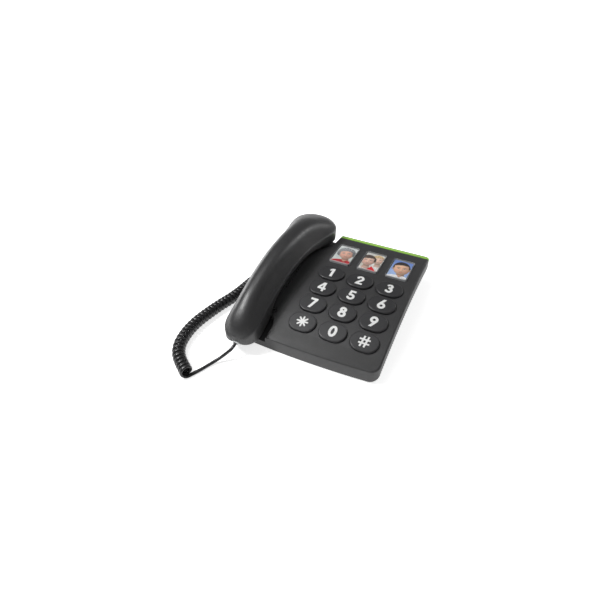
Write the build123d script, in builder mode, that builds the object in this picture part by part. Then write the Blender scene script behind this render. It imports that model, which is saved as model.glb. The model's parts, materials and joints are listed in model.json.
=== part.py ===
from build123d import *
import os
from math import sqrt, sin, cos, tan, radians, degrees, pi

os.makedirs("parts", exist_ok=True)

# ------------------------------------------------------------------
# Corded desk telephone with large keys, three picture keys and a
# handset lying front to back in a cradle on the left.
# X to the right, Y to the rear, Z up, millimetres, floor at Z = 0.
# ------------------------------------------------------------------

# ---- driving dimensions ------------------------------------------
base_x0 = -74.7            # left side of the base
base_x1 = 79.3             # right side of the base
base_y0 = -79.8            # middle of the front edge
base_y1 = 95.8             # rear edge
front_bow = 2.6            # how far the front edge bows forward
notch_x = -24.7            # the rear left corner is cut away left of this
notch_y = 80.4             # and behind this
rim_height = 12.1          # height of the rim all round
wall = 2.2                 # shell wall
foot_height = 1.2
deck_front_z = 13.97       # deck height at the front edge
deck_mid_z = 32.98         # deck height half way
deck_rear_z = 30.16        # deck height at the rear edge
deck_edge_r = 1.6          # rounding of the deck's outer edge

key_cols = (-4.6, 26.4, 57.4)
key_rows = (-52.95, -29.99, -7.03, 15.93)
key_l, key_w = 27.4, 20.8  # oval key, long way across the phone
key_proud = 2.2            # height above the deck
key_travel = 1.3
key_gap = 0.3              # gap all round a key
flange_t = 1.1
photo_y = 52.7             # middle of the picture keys
photo_l, photo_w = 22.8, 35.2
photo_r = 2.0

handset_x = -53.2          # middle plane of the handset
handset_lift = 80.0
plunger_lift = 4.0

coil_d = 12.6              # outside diameter of the coiled cord
lead_d = 3.2               # diameter of its straight ends

# ---- deck curve: one arc through three points in the YZ plane ----
def circle3(a, b, c):
    ax, ay = a; bx, by = b; cx, cy = c
    d = 2 * (ax * (by - cy) + bx * (cy - ay) + cx * (ay - by))
    ux = ((ax**2 + ay**2) * (by - cy) + (bx**2 + by**2) * (cy - ay) + (cx**2 + cy**2) * (ay - by)) / d
    uy = ((ax**2 + ay**2) * (cx - bx) + (bx**2 + by**2) * (ax - cx) + (cx**2 + cy**2) * (bx - ax)) / d
    return ux, uy, sqrt((ax - ux)**2 + (ay - uy)**2)

base_ym = (base_y0 + base_y1) / 2
deck_cy, deck_cz, deck_r = circle3((base_y0, deck_front_z), (base_ym, deck_mid_z), (base_y1, deck_rear_z))

def deck_z(y, inward=0.0):
    r = deck_r - inward
    return deck_cz + sqrt(r * r - (y - deck_cy)**2)

def deck_plane(x, y, inward=0.0):
    z = deck_z(y)
    n = Vector(0, (y - deck_cy) / deck_r, (z - deck_cz) / deck_r)
    o = Vector(x, y, z) - n * inward
    return Plane(origin=o, x_dir=(1, 0, 0), z_dir=n)

def yz(x):
    return Plane(origin=(x, 0, 0), x_dir=(0, 1, 0), z_dir=(1, 0, 0))

def band_points(ya, yb, top, bottom):
    ym = (ya + yb) / 2
    up = [(ya, deck_z(ya, top)), (ym, deck_z(ym, top)), (yb, deck_z(yb, top))]
    dn = [(yb, deck_z(yb, bottom)), (ym, deck_z(ym, bottom)), (ya, deck_z(ya, bottom))]
    return up, dn

# ---- outer form of the base --------------------------------------
ya, yb = base_y0 - 4, base_y1 + 4
with BuildPart() as blank:
    up, dn = band_points(ya, yb, 0, rim_height)
    with BuildSketch(yz(base_x0 - 2)):
        with BuildLine():
            ThreePointArc(*up)
            Line(up[2], dn[0])
            ThreePointArc(*dn)
            Line(dn[2], up[0])
        make_face()
    extrude(amount=base_x1 - base_x0 + 4)
    with BuildSketch(Plane.XY) as plan:
        with BuildLine():
            ThreePointArc((base_x0, base_y0 + front_bow), ((base_x0 + base_x1) / 2, base_y0), (base_x1, base_y0 + front_bow))
            Polyline((base_x1, base_y0 + front_bow), (base_x1, base_y1), (notch_x, base_y1),
                     (notch_x, notch_y), (base_x0, notch_y), (base_x0, base_y0 + front_bow))
        make_face()
        vs = plan.vertices()
        fillet([v for v in vs if v.Y < 0], 9.0)
        fillet([v for v in plan.vertices() if v.Y > 0 and v.X > 70], 5.0)
        fillet([v for v in plan.vertices() if v.Y > 0 and v.X < -70], 6.0)
        fillet([v for v in plan.vertices() if v.Y > 90 and v.X < 0], 1.5)
    extrude(amount=60, mode=Mode.INTERSECT)

# ---- cradle wells, cut from the deck -----------------------------
front_well_x = -31.5
front_well_y = -52.5
front_well_depth = 5.6
rear_well_y = 73.1
rear_well_r = 27.4
rear_well_depth = 4.0

with BuildPart() as well_front:
    with BuildSketch(Plane.XY) as s:
        with Locations((front_well_x, front_well_y)):
            Rectangle(60, 50, align=(Align.MAX, Align.MAX))
        fillet(s.vertices().filter_by(lambda v: v.X > front_well_x - 1 and v.Y > front_well_y - 1), 14)
    extrude(amount=60)
    up, dn = band_points(ya, yb, -8, front_well_depth)
    with BuildSketch(yz(base_x0 - 30)):
        with BuildLine():
            ThreePointArc(*up)
            Line(up[2], dn[0])
            ThreePointArc(*dn)
            Line(dn[2], up[0])
        make_face()
    extrude(amount=120, mode=Mode.INTERSECT)

with BuildPart() as well_front_skin:
    with BuildSketch(Plane.XY) as s:
        with Locations((front_well_x + wall, front_well_y + wall)):
            Rectangle(60, 50, align=(Align.MAX, Align.MAX))
        fillet(s.vertices().filter_by(lambda v: v.X > front_well_x + 1 and v.Y > front_well_y + 1), 16)
    extrude(amount=60)
    up, dn = band_points(ya, yb, -8, front_well_depth + wall)
    with BuildSketch(yz(base_x0 - 30)):
        with BuildLine():
            ThreePointArc(*up)
            Line(up[2], dn[0])
            ThreePointArc(*dn)
            Line(dn[2], up[0])
        make_face()
    extrude(amount=120, mode=Mode.INTERSECT)

def rear_well(grow, depth):
    with BuildPart() as w:
        with BuildSketch(Plane.XY):
            with Locations((handset_x + 1.1, rear_well_y)):
                Circle(rear_well_r + grow)
            with Locations((handset_x + 1.1 + rear_well_r + grow, rear_well_y)):
                Rectangle(2 * rear_well_r + 20, 40, align=(Align.MAX, Align.MIN))
        extrude(amount=60)
        up, dn = band_points(ya, yb, -8, depth)
        with BuildSketch(yz(base_x0 - 30)):
            with BuildLine():
                ThreePointArc(*up)
                Line(up[2], dn[0])
                ThreePointArc(*dn)
                Line(dn[2], up[0])
            make_face()
        extrude(amount=120, mode=Mode.INTERSECT)
    return w.part

well_rear = rear_well(0, rear_well_depth)
well_rear_skin = rear_well(wall, rear_well_depth + wall)

with BuildPart() as outer:
    add(blank.part)
    add(well_front.part, mode=Mode.SUBTRACT)
    add(well_rear, mode=Mode.SUBTRACT)
    deck_face = outer.faces().filter_by(lambda f: f.center().Z > 28).sort_by(SortBy.AREA)[-1]
    fillet(deck_face.outer_wire().edges(), deck_edge_r)

# ---- inside of the upper housing ---------------------------------
with BuildPart() as cavity:
    up, dn = band_points(ya, yb, wall, rim_height + 6)
    with BuildSketch(yz(base_x0 - 2)):
        with BuildLine():
            ThreePointArc(*up)
            Line(up[2], dn[0])
            ThreePointArc(*dn)
            Line(dn[2], up[0])
        make_face()
    extrude(amount=base_x1 - base_x0 + 4)
    with BuildSketch(Plane.XY.offset(-20)) as plan_in:
        with BuildLine():
            ThreePointArc((base_x0 + wall, base_y0 + front_bow + wall), ((base_x0 + base_x1) / 2, base_y0 + wall),
                          (base_x1 - wall, base_y0 + front_bow + wall))
            Polyline((base_x1 - wall, base_y0 + front_bow + wall), (base_x1 - wall, base_y1 - wall),
                     (notch_x + wall, base_y1 - wall), (notch_x + wall, notch_y - wall),
                     (base_x0 + wall, notch_y - wall), (base_x0 + wall, base_y0 + front_bow + wall))
        make_face()
        fillet([v for v in plan_in.vertices() if v.Y < 0], 6.8)
        fillet([v for v in plan_in.vertices() if v.Y > 0 and v.X > 70], 2.8)
        fillet([v for v in plan_in.vertices() if v.Y > 0 and v.X < -70], 3.8)
    extrude(amount=90, mode=Mode.INTERSECT)
    add(well_front_skin.part, mode=Mode.SUBTRACT)
    add(well_rear_skin, mode=Mode.SUBTRACT)

# ---- strip at the rear edge that lights when the phone rings ------
strip_y = 88.8
strip_depth = 3.6
with BuildPart() as ring_light_strip:
    add(outer.part)
    with BuildSketch(yz(notch_x - 0.0)):
        with BuildLine():
            u, d = band_points(strip_y, base_y1 + 3, -1, strip_depth)
            ThreePointArc(*u)
            Line(u[2], d[0])
            ThreePointArc(*d)
            Line(d[2], u[0])
        make_face()
    extrude(amount=base_x1 - notch_x + 4, mode=Mode.INTERSECT)
ring_light_strip.part.label = "ring_light_strip"

# ---- upper housing -------------------------------------------------
screw_xy = [(-58.0, 42.0), (-58.0, -42.0), (62.0, 74.2), (62.0, -67.4), (-14.0, -67.4)]
grille_cols, grille_rows, grille_pitch = 8, 12, 3.9

with BuildPart() as upper_housing:
    add(outer.part)
    add(cavity.part, mode=Mode.SUBTRACT)
    # seat of the strip
    with BuildSketch(yz(notch_x)):
        with BuildLine():
            u, d = band_points(strip_y, base_y1 + 3, -1, strip_depth)
            ThreePointArc(*u)
            Line(u[2], d[0])
            ThreePointArc(*d)
            Line(d[2], u[0])
        make_face()
    extrude(amount=base_x1 - notch_x + 4, mode=Mode.SUBTRACT)
    # ledge that carries the strip
    with BuildSketch(yz(notch_x + 0.6)):
        with BuildLine():
            u, d = band_points(strip_y - 2.2, base_y1 - 0.8, strip_depth, strip_depth + 1.6)
            ThreePointArc(*u)
            Line(u[2], d[0])
            ThreePointArc(*d)
            Line(d[2], u[0])
        make_face()
    extrude(amount=base_x1 - notch_x - 2.0)
    with BuildSketch(yz(notch_x + 0.6)):
        with BuildLine():
            u, d = band_points(strip_y - 2.2, strip_y, wall - 0.4, strip_depth + 0.4)
            ThreePointArc(*u)
            Line(u[2], d[0])
            ThreePointArc(*d)
            Line(d[2], u[0])
        make_face()
    extrude(amount=base_x1 - notch_x - 2.0)
    # holes for the oval keys
    for kx in key_cols:
        for ky in key_rows:
            with BuildSketch(deck_plane(kx, ky, -2)):
                SlotOverall(key_l + 2 * key_gap, key_w + 2 * key_gap)
            extrude(amount=-6, mode=Mode.SUBTRACT)
    # holes for the picture keys
    for kx in key_cols:
        with BuildSketch(deck_plane(kx, photo_y, -2)):
            RectangleRounded(photo_l + 2 * key_gap, photo_w + 2 * key_gap, photo_r + key_gap)
        extrude(amount=-6, mode=Mode.SUBTRACT)
    # sounder holes in the deck beside and under the grip
    with BuildSketch(deck_plane(handset_x, 3.0, -3)):
        with GridLocations(grille_pitch, grille_pitch, grille_cols, grille_rows):
            Circle(0.75)
    extrude(amount=-8, mode=Mode.SUBTRACT)
    # round port beside the front well
    with BuildSketch(deck_plane(-37.0, -49.6, -1)):
        Circle(3.2)
    extrude(amount=-1.9, mode=Mode.SUBTRACT)
    with BuildSketch(deck_plane(-37.0, -49.6, 0.9)):
        Circle(2.4)
    extrude(amount=1.3)
    with BuildSketch(deck_plane(-37.0, -49.6, -1)):
        Circle(1.3)
    extrude(amount=-6, mode=Mode.SUBTRACT)
    # plunger hole in the rear well
    with BuildSketch(Plane.XY.offset(20)):
        with Locations((handset_x + 1.1, 58.0)):
            Circle(3.6)
    extrude(amount=20, mode=Mode.SUBTRACT)
with BuildPart() as bosses:
    for bx, by in screw_xy:
        with BuildSketch(Plane.XY.offset(6.2)):
            with Locations((bx, by)):
                Circle(2.8)
        extrude(amount=deck_z(by, wall) - 6.2)
    with BuildSketch(yz(base_x0 - 2)):
        with BuildLine():
            u, d = band_points(ya, yb, wall - 0.4, 40)
            ThreePointArc(*u)
            Line(u[2], d[0])
            ThreePointArc(*d)
            Line(d[2], u[0])
        make_face()
    extrude(amount=base_x1 - base_x0 + 4, mode=Mode.INTERSECT)
    for bx, by in screw_xy:
        with Locations((bx, by, 0)):
            Cylinder(1.05, 24, align=(Align.CENTER, Align.CENTER, Align.CENTER), mode=Mode.SUBTRACT)

with BuildPart() as upper_done:
    add(upper_housing.part)
    add(bosses.part)
upper_done.part.label = "upper_housing"

# ---- lower housing: closing tray and the raised foot --------------
foot_x0, foot_x1 = -66.0, 70.0
foot_y0, foot_y1 = -73.0, 79.5
tray_gap = 0.35
with BuildPart() as lower_outer:
    # tray that fits inside the rim
    with BuildSketch(Plane.XY.offset(-20)) as tray_plan:
        with BuildLine():
            g = wall + tray_gap
            ThreePointArc((base_x0 + g, base_y0 + front_bow + g), ((base_x0 + base_x1) / 2, base_y0 + g),
                          (base_x1 - g, base_y0 + front_bow + g))
            Polyline((base_x1 - g, base_y0 + front_bow + g), (base_x1 - g, base_y1 - g),
                     (notch_x + g, base_y1 - g), (notch_x + g, notch_y - g),
                     (base_x0 + g, notch_y - g), (base_x0 + g, base_y0 + front_bow + g))
        make_face()
        fillet([v for v in tray_plan.vertices() if v.Y < 0], 6.4)
        fillet([v for v in tray_plan.vertices() if v.Y > 0 and v.X > 70], 2.4)
        fillet([v for v in tray_plan.vertices() if v.Y > 0 and v.X < -70], 3.4)
    extrude(amount=90)
    with BuildSketch(yz(base_x0 - 2)):
        with BuildLine():
            u, d = band_points(ya, yb, rim_height - 2.4, rim_height - 0.4)
            ThreePointArc(*u)
            Line(u[2], d[0])
            ThreePointArc(*d)
            Line(d[2], u[0])
        make_face()
    extrude(amount=base_x1 - base_x0 + 4, mode=Mode.INTERSECT)

with BuildPart() as foot_solid:
    with BuildSketch(Plane.XY.offset(foot_height)):
        with Locations(((foot_x0 + foot_x1) / 2, (foot_y0 + foot_y1) / 2)):
            RectangleRounded(foot_x1 - foot_x0, foot_y1 - foot_y0, 9)
    extrude(amount=30)
    with BuildSketch(yz(base_x0 - 2)):
        with BuildLine():
            u, d = band_points(ya, yb, rim_height - 2.0, 60)
            ThreePointArc(*u)
            Line(u[2], d[0])
            ThreePointArc(*d)
            Line(d[2], u[0])
        make_face()
    extrude(amount=base_x1 - base_x0 + 4, mode=Mode.INTERSECT)

with BuildPart() as foot_hollow:
    with BuildSketch(Plane.XY.offset(foot_height + 2)):
        with Locations(((foot_x0 + foot_x1) / 2, (foot_y0 + foot_y1) / 2)):
            RectangleRounded(foot_x1 - foot_x0 - 4, foot_y1 - foot_y0 - 4, 7)
    extrude(amount=40)

feet_xy = [(foot_x0 + 11, foot_y0 + 13.5), (foot_x1 - 11, foot_y0 + 13.5), (foot_x0 + 11, foot_y1 - 13), (foot_x1 - 11, foot_y1 - 13)]
jack_y, jack_z = 19.4, 8.6            # handset cord socket, left wall of the foot
line_x, line_z = 8.0, 11.6            # line socket, rear wall of the foot
with BuildPart() as lower_housing:
    add(lower_outer.part)
    add(foot_solid.part)
    add(foot_hollow.part, mode=Mode.SUBTRACT)
    # screw pillars
    for bx, by in screw_xy:
        with BuildSketch(Plane.XY.offset(foot_height)):
            with Locations((bx, by)):
                Circle(3.4)
        extrude(amount=6.0 - foot_height)
    for bx, by in screw_xy:
        with Locations((bx, by, 0)):
            Cylinder(1.4, 60, mode=Mode.SUBTRACT)
        with Locations((bx, by, 6.0)):
            Cylinder(3.3, 40, align=(Align.CENTER, Align.CENTER, Align.MIN), mode=Mode.SUBTRACT)
        with BuildSketch(Plane.XY.offset(foot_height - 1)):
            with Locations((bx, by)):
                Circle(2.8)
        extrude(amount=3.4, mode=Mode.SUBTRACT)
    # rubber foot seats
    for fx, fy in feet_xy:
        with BuildSketch(Plane.XY.offset(foot_height - 1)):
            with Locations((fx, fy)):
                Circle(5.2)
        extrude(amount=1.8, mode=Mode.SUBTRACT)
    # ventilation slots under the sounder
    with BuildSketch(Plane.XY.offset(foot_height - 1)):
        with Locations((-30, -10)):
            with GridLocations(0, 5, 1, 7):
                SlotOverall(26, 1.8)
    extrude(amount=6, mode=Mode.SUBTRACT)
    # socket openings
    with Locations((foot_x0, jack_y, jack_z)):
        Box(12, 10.4, 8.4, mode=Mode.SUBTRACT)
    with Locations((line_x, foot_y1, line_z)):
        Box(13.4, 12, 11.4, mode=Mode.SUBTRACT)
    # room for the wall of the cut-away corner
    with Locations((-51.1, 83.8, 28.0)):
        Box(57.8, 12.1, 20.0, mode=Mode.SUBTRACT)
lower_housing.part.label = "lower_housing"

# ---- rubber feet and screws ----------------------------------------
with BuildPart() as rubber_feet:
    for fx, fy in feet_xy:
        with BuildSketch(Plane.XY):
            with Locations((fx, fy)):
                Circle(5.0)
        extrude(amount=foot_height + 0.8)
    fillet(rubber_feet.faces().filter_by(Axis.Z).sort_by(Axis.Z)[:4].edges(), 0.4)
rubber_feet.part.label = "rubber_feet"

def screw(plane, head_r, head_h, shank_r, length):
    with BuildPart() as sc:
        with BuildSketch(plane):
            Circle(head_r)
        extrude(amount=head_h)
        with BuildSketch(plane.offset(head_h)):
            Circle(shank_r)
        extrude(amount=length)
        with BuildSketch(plane):
            Rectangle(2 * head_r * 0.72, 0.7)
            Rectangle(0.7, 2 * head_r * 0.72)
        extrude(amount=head_h * 0.6, mode=Mode.SUBTRACT)
    return sc.part

with BuildPart() as housing_screws:
    for bx, by in screw_xy:
        add(screw(Plane.XY.offset(foot_height + 0.6).shift_origin((bx, by, foot_height + 0.6)), 2.6, 1.6, 1.0, 7.0))
housing_screws.part.label = "housing_screws"

# ---- circuit board, key mat and keys ------------------------------
board_ya, board_yb = -67.0, 73.0
board_drop = 7.8
za, zb = deck_z(board_ya, board_drop), deck_z(board_yb, board_drop)
board_tilt = Vector(0, board_yb - board_ya, zb - za).normalized()
board_n = Vector(1, 0, 0).cross(board_tilt)
board_plane = Plane(origin=(23.0, (board_ya + board_yb) / 2, (za + zb) / 2), x_dir=(1, 0, 0), z_dir=board_n)
board_len = sqrt((board_yb - board_ya)**2 + (zb - za)**2)
mat_t = 1.2

def depth_to_mat(ky, dx=0.0):
    # distance from the deck down its own normal to the top of the mat
    p = deck_plane(0, ky)
    o = p.origin
    n = p.z_dir
    top = board_plane.origin + board_n * mat_t
    return (o - top).dot(board_n) / n.dot(board_n)

with BuildPart() as main_board:
    with BuildSketch(board_plane):
        Rectangle(86, board_len)
    extrude(amount=-1.6)
    for bx, by in screw_xy:
        with Locations((bx, by, 0)):
            Cylinder(4.2, 90, mode=Mode.SUBTRACT)
main_board.part.label = "main_board"

with BuildPart() as keypad_mat:
    with BuildSketch(board_plane):
        Rectangle(82, board_len - 4)
    extrude(amount=mat_t)
    for bx, by in screw_xy:
        with Locations((bx, by, 0)):
            Cylinder(4.2, 90, mode=Mode.SUBTRACT)
keypad_mat.part.label = "keypad_mat"

def oval_key(name, kx, ky):
    stem = depth_to_mat(ky) - key_travel - 0.6
    p = deck_plane(kx, ky)
    with BuildPart() as key:
        with BuildSketch(p.offset(-3.4)):
            SlotOverall(key_l, key_w)
        extrude(amount=3.4 + key_proud)
        fillet(key.faces().sort_by(lambda f: (f.center() - p.origin).dot(p.z_dir))[-1].edges(), 1.3)
        with BuildSketch(p.offset(-3.6)):
            SlotOverall(key_l + 1.6, key_w + 1.4)
        extrude(amount=flange_t)
        with BuildSketch(p.offset(-3.7)):
            SlotOverall(key_l - 3.4, key_w - 3.4)
        extrude(amount=3.7 + 0.4, mode=Mode.SUBTRACT)
        with BuildSketch(p.offset(0.5)):
            Circle(3.0)
        extrude(amount=-0.5 - stem)
    key.part.label = name
    return key.part

names = [["key_star", "key_0", "key_hash"], ["key_7", "key_8", "key_9"], ["key_4", "key_5", "key_6"], ["key_1", "key_2", "key_3"]]
keys = []
for r, ky in enumerate(key_rows):
    for c, kx in enumerate(key_cols):
        keys.append(oval_key(names[r][c], kx, ky))

def picture_key(i, kx):
    p = deck_plane(kx, photo_y)
    top = board_plane.origin + board_n * mat_t
    reach = [(p.origin + p.y_dir * dy - top).dot(board_n) / p.z_dir.dot(board_n) for dy in (-10.2, 10.2)]
    stem = min(reach) - key_travel - 0.35
    with BuildPart() as body:
        with BuildSketch(p.offset(-4.0)):
            RectangleRounded(photo_l + 1.6, photo_w + 1.6, photo_r)
        extrude(amount=flange_t)
        with BuildSketch(p.offset(-4.0)):
            RectangleRounded(photo_l - 2.2, photo_w - 2.2, photo_r - 0.9)
        extrude(amount=4.0 + 0.5)
        with BuildSketch(p.offset(-4.1)):
            RectangleRounded(photo_l - 5, photo_w - 5, 0.8)
        extrude(amount=3.3, mode=Mode.SUBTRACT)
        with BuildSketch(p.offset(-0.6)):
            with GridLocations(0, 16, 1, 2):
                Circle(2.2)
        extrude(amount=0.6 - stem)
    body.part.label = f"photo_key_{i}"
    with BuildPart() as card:
        with BuildSketch(p.offset(0.5)):
            RectangleRounded(photo_l - 2.4, photo_w - 2.4, photo_r - 1.0)
        extrude(amount=0.3)
    card.part.label = f"photo_card_{i}"
    with BuildPart() as cover:
        with BuildSketch(p.offset(-2.9)):
            RectangleRounded(photo_l, photo_w, photo_r)
        extrude(amount=2.9 + key_proud)
        fillet(cover.faces().sort_by(lambda f: (f.center() - p.origin).dot(p.z_dir))[-1].edges(), 0.7)
        with BuildSketch(p.offset(-3.0)):
            RectangleRounded(photo_l - 2.2, photo_w - 2.2, photo_r - 0.9)
        extrude(amount=3.0 + 0.8, mode=Mode.SUBTRACT)
    cover.part.label = f"photo_cover_{i}"
    return [body.part, card.part, cover.part]

for i, kx in enumerate(key_cols):
    keys += picture_key(i + 1, kx)

# ---- lamps behind the strip ----------------------------------------
lamp_plane = deck_plane(26.4, strip_y - 5.2, 3.6)
with BuildPart() as ring_light_board:
    with BuildSketch(lamp_plane):
        Rectangle(84, 5.0)
    extrude(amount=-1.0)
    with BuildSketch(lamp_plane):
        with GridLocations(24, 0, 4, 1):
            Rectangle(3.2, 1.6)
    extrude(amount=0.9)
ring_light_board.part.label = "ring_light_board"

# ---- sounder under the grille --------------------------------------
sounder_plane = deck_plane(-46.0, 3.0, 4.2)
with BuildPart() as ringer_speaker:
    with BuildSketch(sounder_plane):
        Circle(16)
    extrude(amount=-2.4)
    with BuildSketch(sounder_plane.offset(-2.4)):
        Circle(14.5)
    extrude(amount=-4.0, taper=22)
    with BuildSketch(sounder_plane.offset(-6.4)):
        Circle(8.5)
    extrude(amount=-3.6)
    with BuildSketch(sounder_plane):
        Circle(14)
        Circle(5, mode=Mode.SUBTRACT)
    extrude(amount=-1.2, mode=Mode.SUBTRACT)
ringer_speaker.part.label = "ringer_speaker"

# ---- hook switch under the rear well -------------------------------
plunger_x, plunger_y = handset_x + 1.1, 58.0
rest_z = 30.3
with BuildPart() as hook_plunger:
    with BuildSketch(Plane.XY.offset(rest_z - 9.5)):
        with Locations((plunger_x, plunger_y)):
            Circle(3.25)
    extrude(amount=9.3)
    fillet(hook_plunger.faces().sort_by(Axis.Z)[-1].edges(), 1.0)
    with BuildSketch(Plane.XY.offset(rest_z - 10.7)):
        with Locations((plunger_x, plunger_y)):
            Circle(4.6)
    extrude(amount=1.2)
hook_plunger.part.label = "hook_plunger"

with BuildPart() as hook_switch:
    with Locations((plunger_x, plunger_y - 1.0, rest_z - 10.7 - plunger_lift - 5.2)):
        Box(14, 12, 6.4)
    with Locations((plunger_x, plunger_y, rest_z - 10.7 - plunger_lift - 1.6)):
        Cylinder(1.6, 2.0)
hook_switch.part.label = "hook_switch"

# ---- sockets in the base --------------------------------------------
with BuildPart() as base_cord_jack:
    with Locations((foot_x0 + 5.6, jack_y, jack_z)):
        Box(13.2, 10.2, 8.2)
    with Locations((foot_x0 + 3.0, jack_y, jack_z)):
        Box(16.2, 7.8, 6.2, mode=Mode.SUBTRACT)
    with Locations((foot_x0 + 3.0, jack_y, jack_z - 3.4)):
        Box(12.2, 2.6, 1.2, mode=Mode.SUBTRACT)
base_cord_jack.part.label = "base_cord_jack"

with BuildPart() as line_jack:
    with Locations((line_x, foot_y1 - 6.2, line_z)):
        Box(13.2, 13.4, 11.2)
    with Locations((line_x, foot_y1 - 3.2, line_z)):
        Box(9.8, 12.4, 6.8, mode=Mode.SUBTRACT)
    with Locations((line_x, foot_y1 - 3.2, line_z - 4.0)):
        Box(3.4, 12.4, 2.0, mode=Mode.SUBTRACT)
    with Locations((line_x, foot_y1 - 3.2, line_z + 3.2)):
        with GridLocations(1.2, 0, 4, 1):
            Box(0.4, 7.0, 0.5)
line_jack.part.label = "line_jack"

# ---- handset ---------------------------------------------------------
# stations along the handset: y, half width, seam height, top height, underside height
stations = [
    (-98.4, 4.4, 19.5, 23.1, 15.9),
    (-96.4, 9.2, 20.6, 27.3, 13.4),
    (-93.3, 12.6, 22.1, 31.9, 11.4),
    (-89.1, 15.3, 24.2, 36.1, 10.6),
    (-83.9, 16.8, 26.2, 40.2, 10.4),
    (-77.0, 17.0, 28.9, 44.3, 10.5),
    (-68.4, 16.8, 32.4, 49.5, 12.6),
    (-60.0, 16.9, 35.6, 53.4, 17.2),
    (-52.0, 17.1, 38.4, 56.4, 26.8),
    (-44.0, 17.3, 41.0, 59.2, 33.6),
    (-36.0, 17.5, 43.3, 61.4, 36.6),
    (-24.0, 17.8, 46.3, 64.0, 40.2),
    (-8.0, 18.3, 49.4, 66.3, 42.6),
    (8.0, 18.9, 50.9, 67.3, 43.3),
    (24.0, 19.9, 50.5, 67.2, 42.4),
    (38.0, 21.0, 49.1, 66.4, 39.8),
    (48.0, 22.2, 48.1, 65.3, 37.0),
    (57.0, 23.5, 47.2, 63.8, 34.9),
    (66.0, 25.1, 46.5, 61.7, 31.7),
    (74.0, 26.1, 45.9, 59.2, 30.2),
    (82.0, 25.8, 45.3, 56.5, 29.9),
    (89.0, 22.8, 44.6, 53.7, 29.4),
    (94.0, 18.3, 44.0, 51.1, 30.2),
    (97.2, 12.6, 43.6, 48.7, 31.2),
    (98.8, 6.3, 43.3, 46.3, 33.0),
]

def section(y, w, s, t, b, rb):
    # crowned top that meets the near upright sides in a tight rounded edge, flat underside with rounded corners
    pl = Plane(origin=(handset_x, y, 0), x_dir=(1, 0, 0), z_dir=(0, -1, 0))
    with BuildSketch(pl) as sk:
        with BuildLine():
            h = t - s
            r = min(rb, 0.42 * (s - b), 0.6 * w)
            q = 0.45 * r
            v = w * 0.985
            e = min(1.7, 0.14 * w, 0.3 * h)
            ax, az = w, s - 0.8 * e                     # top of the upright side
            bx, bz = w - 0.62 * e, s + 0.95 * e         # foot of the crown
            k = 0.55 * (t - bz) / 0.788
            cx, cz_ = bx - 0.616 * k, bz + 0.788 * k
            Bezier((ax, az), (w, az + 0.75 * e), (bx + 0.37 * e, bz - 0.47 * e), (bx, bz))
            Bezier((bx, bz), (cx, cz_), (0.5 * w, t), (0, t))
            Bezier((0, t), (-0.5 * w, t), (-cx, cz_), (-bx, bz))
            Bezier((-bx, bz), (-bx - 0.37 * e, bz - 0.47 * e), (-w, az + 0.75 * e), (-ax, az))
            Bezier((-ax, az), (-v, b + r))
            Bezier((-v, b + r), (-v, b + q), (-v + q, b), (-v + r, b))
            Bezier((-v + r, b), (v - r, b))
            Bezier((v - r, b), (v - q, b), (v, b + q), (v, b + r))
            Bezier((v, b + r), (ax, az))
        make_face()
    return sk.sketch

with BuildPart() as handset_solid:
    for y, w, s_, t, b in stations:
        add(section(y, w, s_, t, b, 3.5))
    loft()

skin = 2.0
with BuildPart() as handset_void:
    for y, w, s_, t, b in stations[2:-2]:
        yy = y
        add(section(yy, w - skin, s_, t - skin, b + skin, 2.5))
    loft()

seam = [(y, s_) for y, w, s_, t, b in stations]
with BuildPart() as seam_above:
    with BuildSketch(yz(handset_x - 40)):
        with BuildLine():
            l1 = Spline(*([(-112, 13.0)] + seam[::2] + [(112, 42.4)]))
            Line((112, 42.4), (112, 120))
            Line((112, 120), (-112, 120))
            Line((-112, 120), (-112, 13.0))
        make_face()
    extrude(amount=80)

# plug end of the handset: socket axis points forward and down
hs_plug = Plane(origin=(handset_x + 1.0, -92.0, 16.4), x_dir=(1, 0, 0), z_dir=(0, -0.94, -0.342))
low_screw = (handset_x, -63.0)
high_screw = (handset_x, 50.0)

with BuildPart() as lower_bosses:
    # bosses for the two screws and the two ribs that carry the weight
    for (bx, by), top in ((low_screw, 26.0), (high_screw, 47.5)):
        with Locations((bx, by, 0)):
            Cylinder(4.2, top, align=(Align.CENTER, Align.CENTER, Align.MIN))
    for ry in (-12.0, 22.0):
        with Locations((handset_x, ry, 0)):
            Box(12, 2.0, 55.0, align=(Align.CENTER, Align.CENTER, Align.MIN))
    add(handset_solid.part, mode=Mode.INTERSECT)

with BuildPart() as upper_bosses:
    for (bx, by), low in ((low_screw, 26.2), (high_screw, 47.7)):
        with Locations((bx, by, low)):
            Cylinder(3.2, 60, align=(Align.CENTER, Align.CENTER, Align.MIN))
    add(handset_solid.part, mode=Mode.INTERSECT)

with BuildPart() as screw_ways:
    for (bx, by), head in ((low_screw, 18.0), (high_screw, 38.0)):
        with Locations((bx, by, head)):
            Cylinder(2.9, 40, align=(Align.CENTER, Align.CENTER, Align.MAX))
        with Locations((bx, by, head - 1)):
            Cylinder(1.35, 16, align=(Align.CENTER, Align.CENTER, Align.MIN))

with BuildPart() as handset_top:
    add(handset_solid.part)
    add(handset_void.part, mode=Mode.SUBTRACT)
    add(upper_bosses.part)
    add(seam_above.part, mode=Mode.INTERSECT)
    add(screw_ways.part, mode=Mode.SUBTRACT)
handset_top.part.label = "handset_top"

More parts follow.
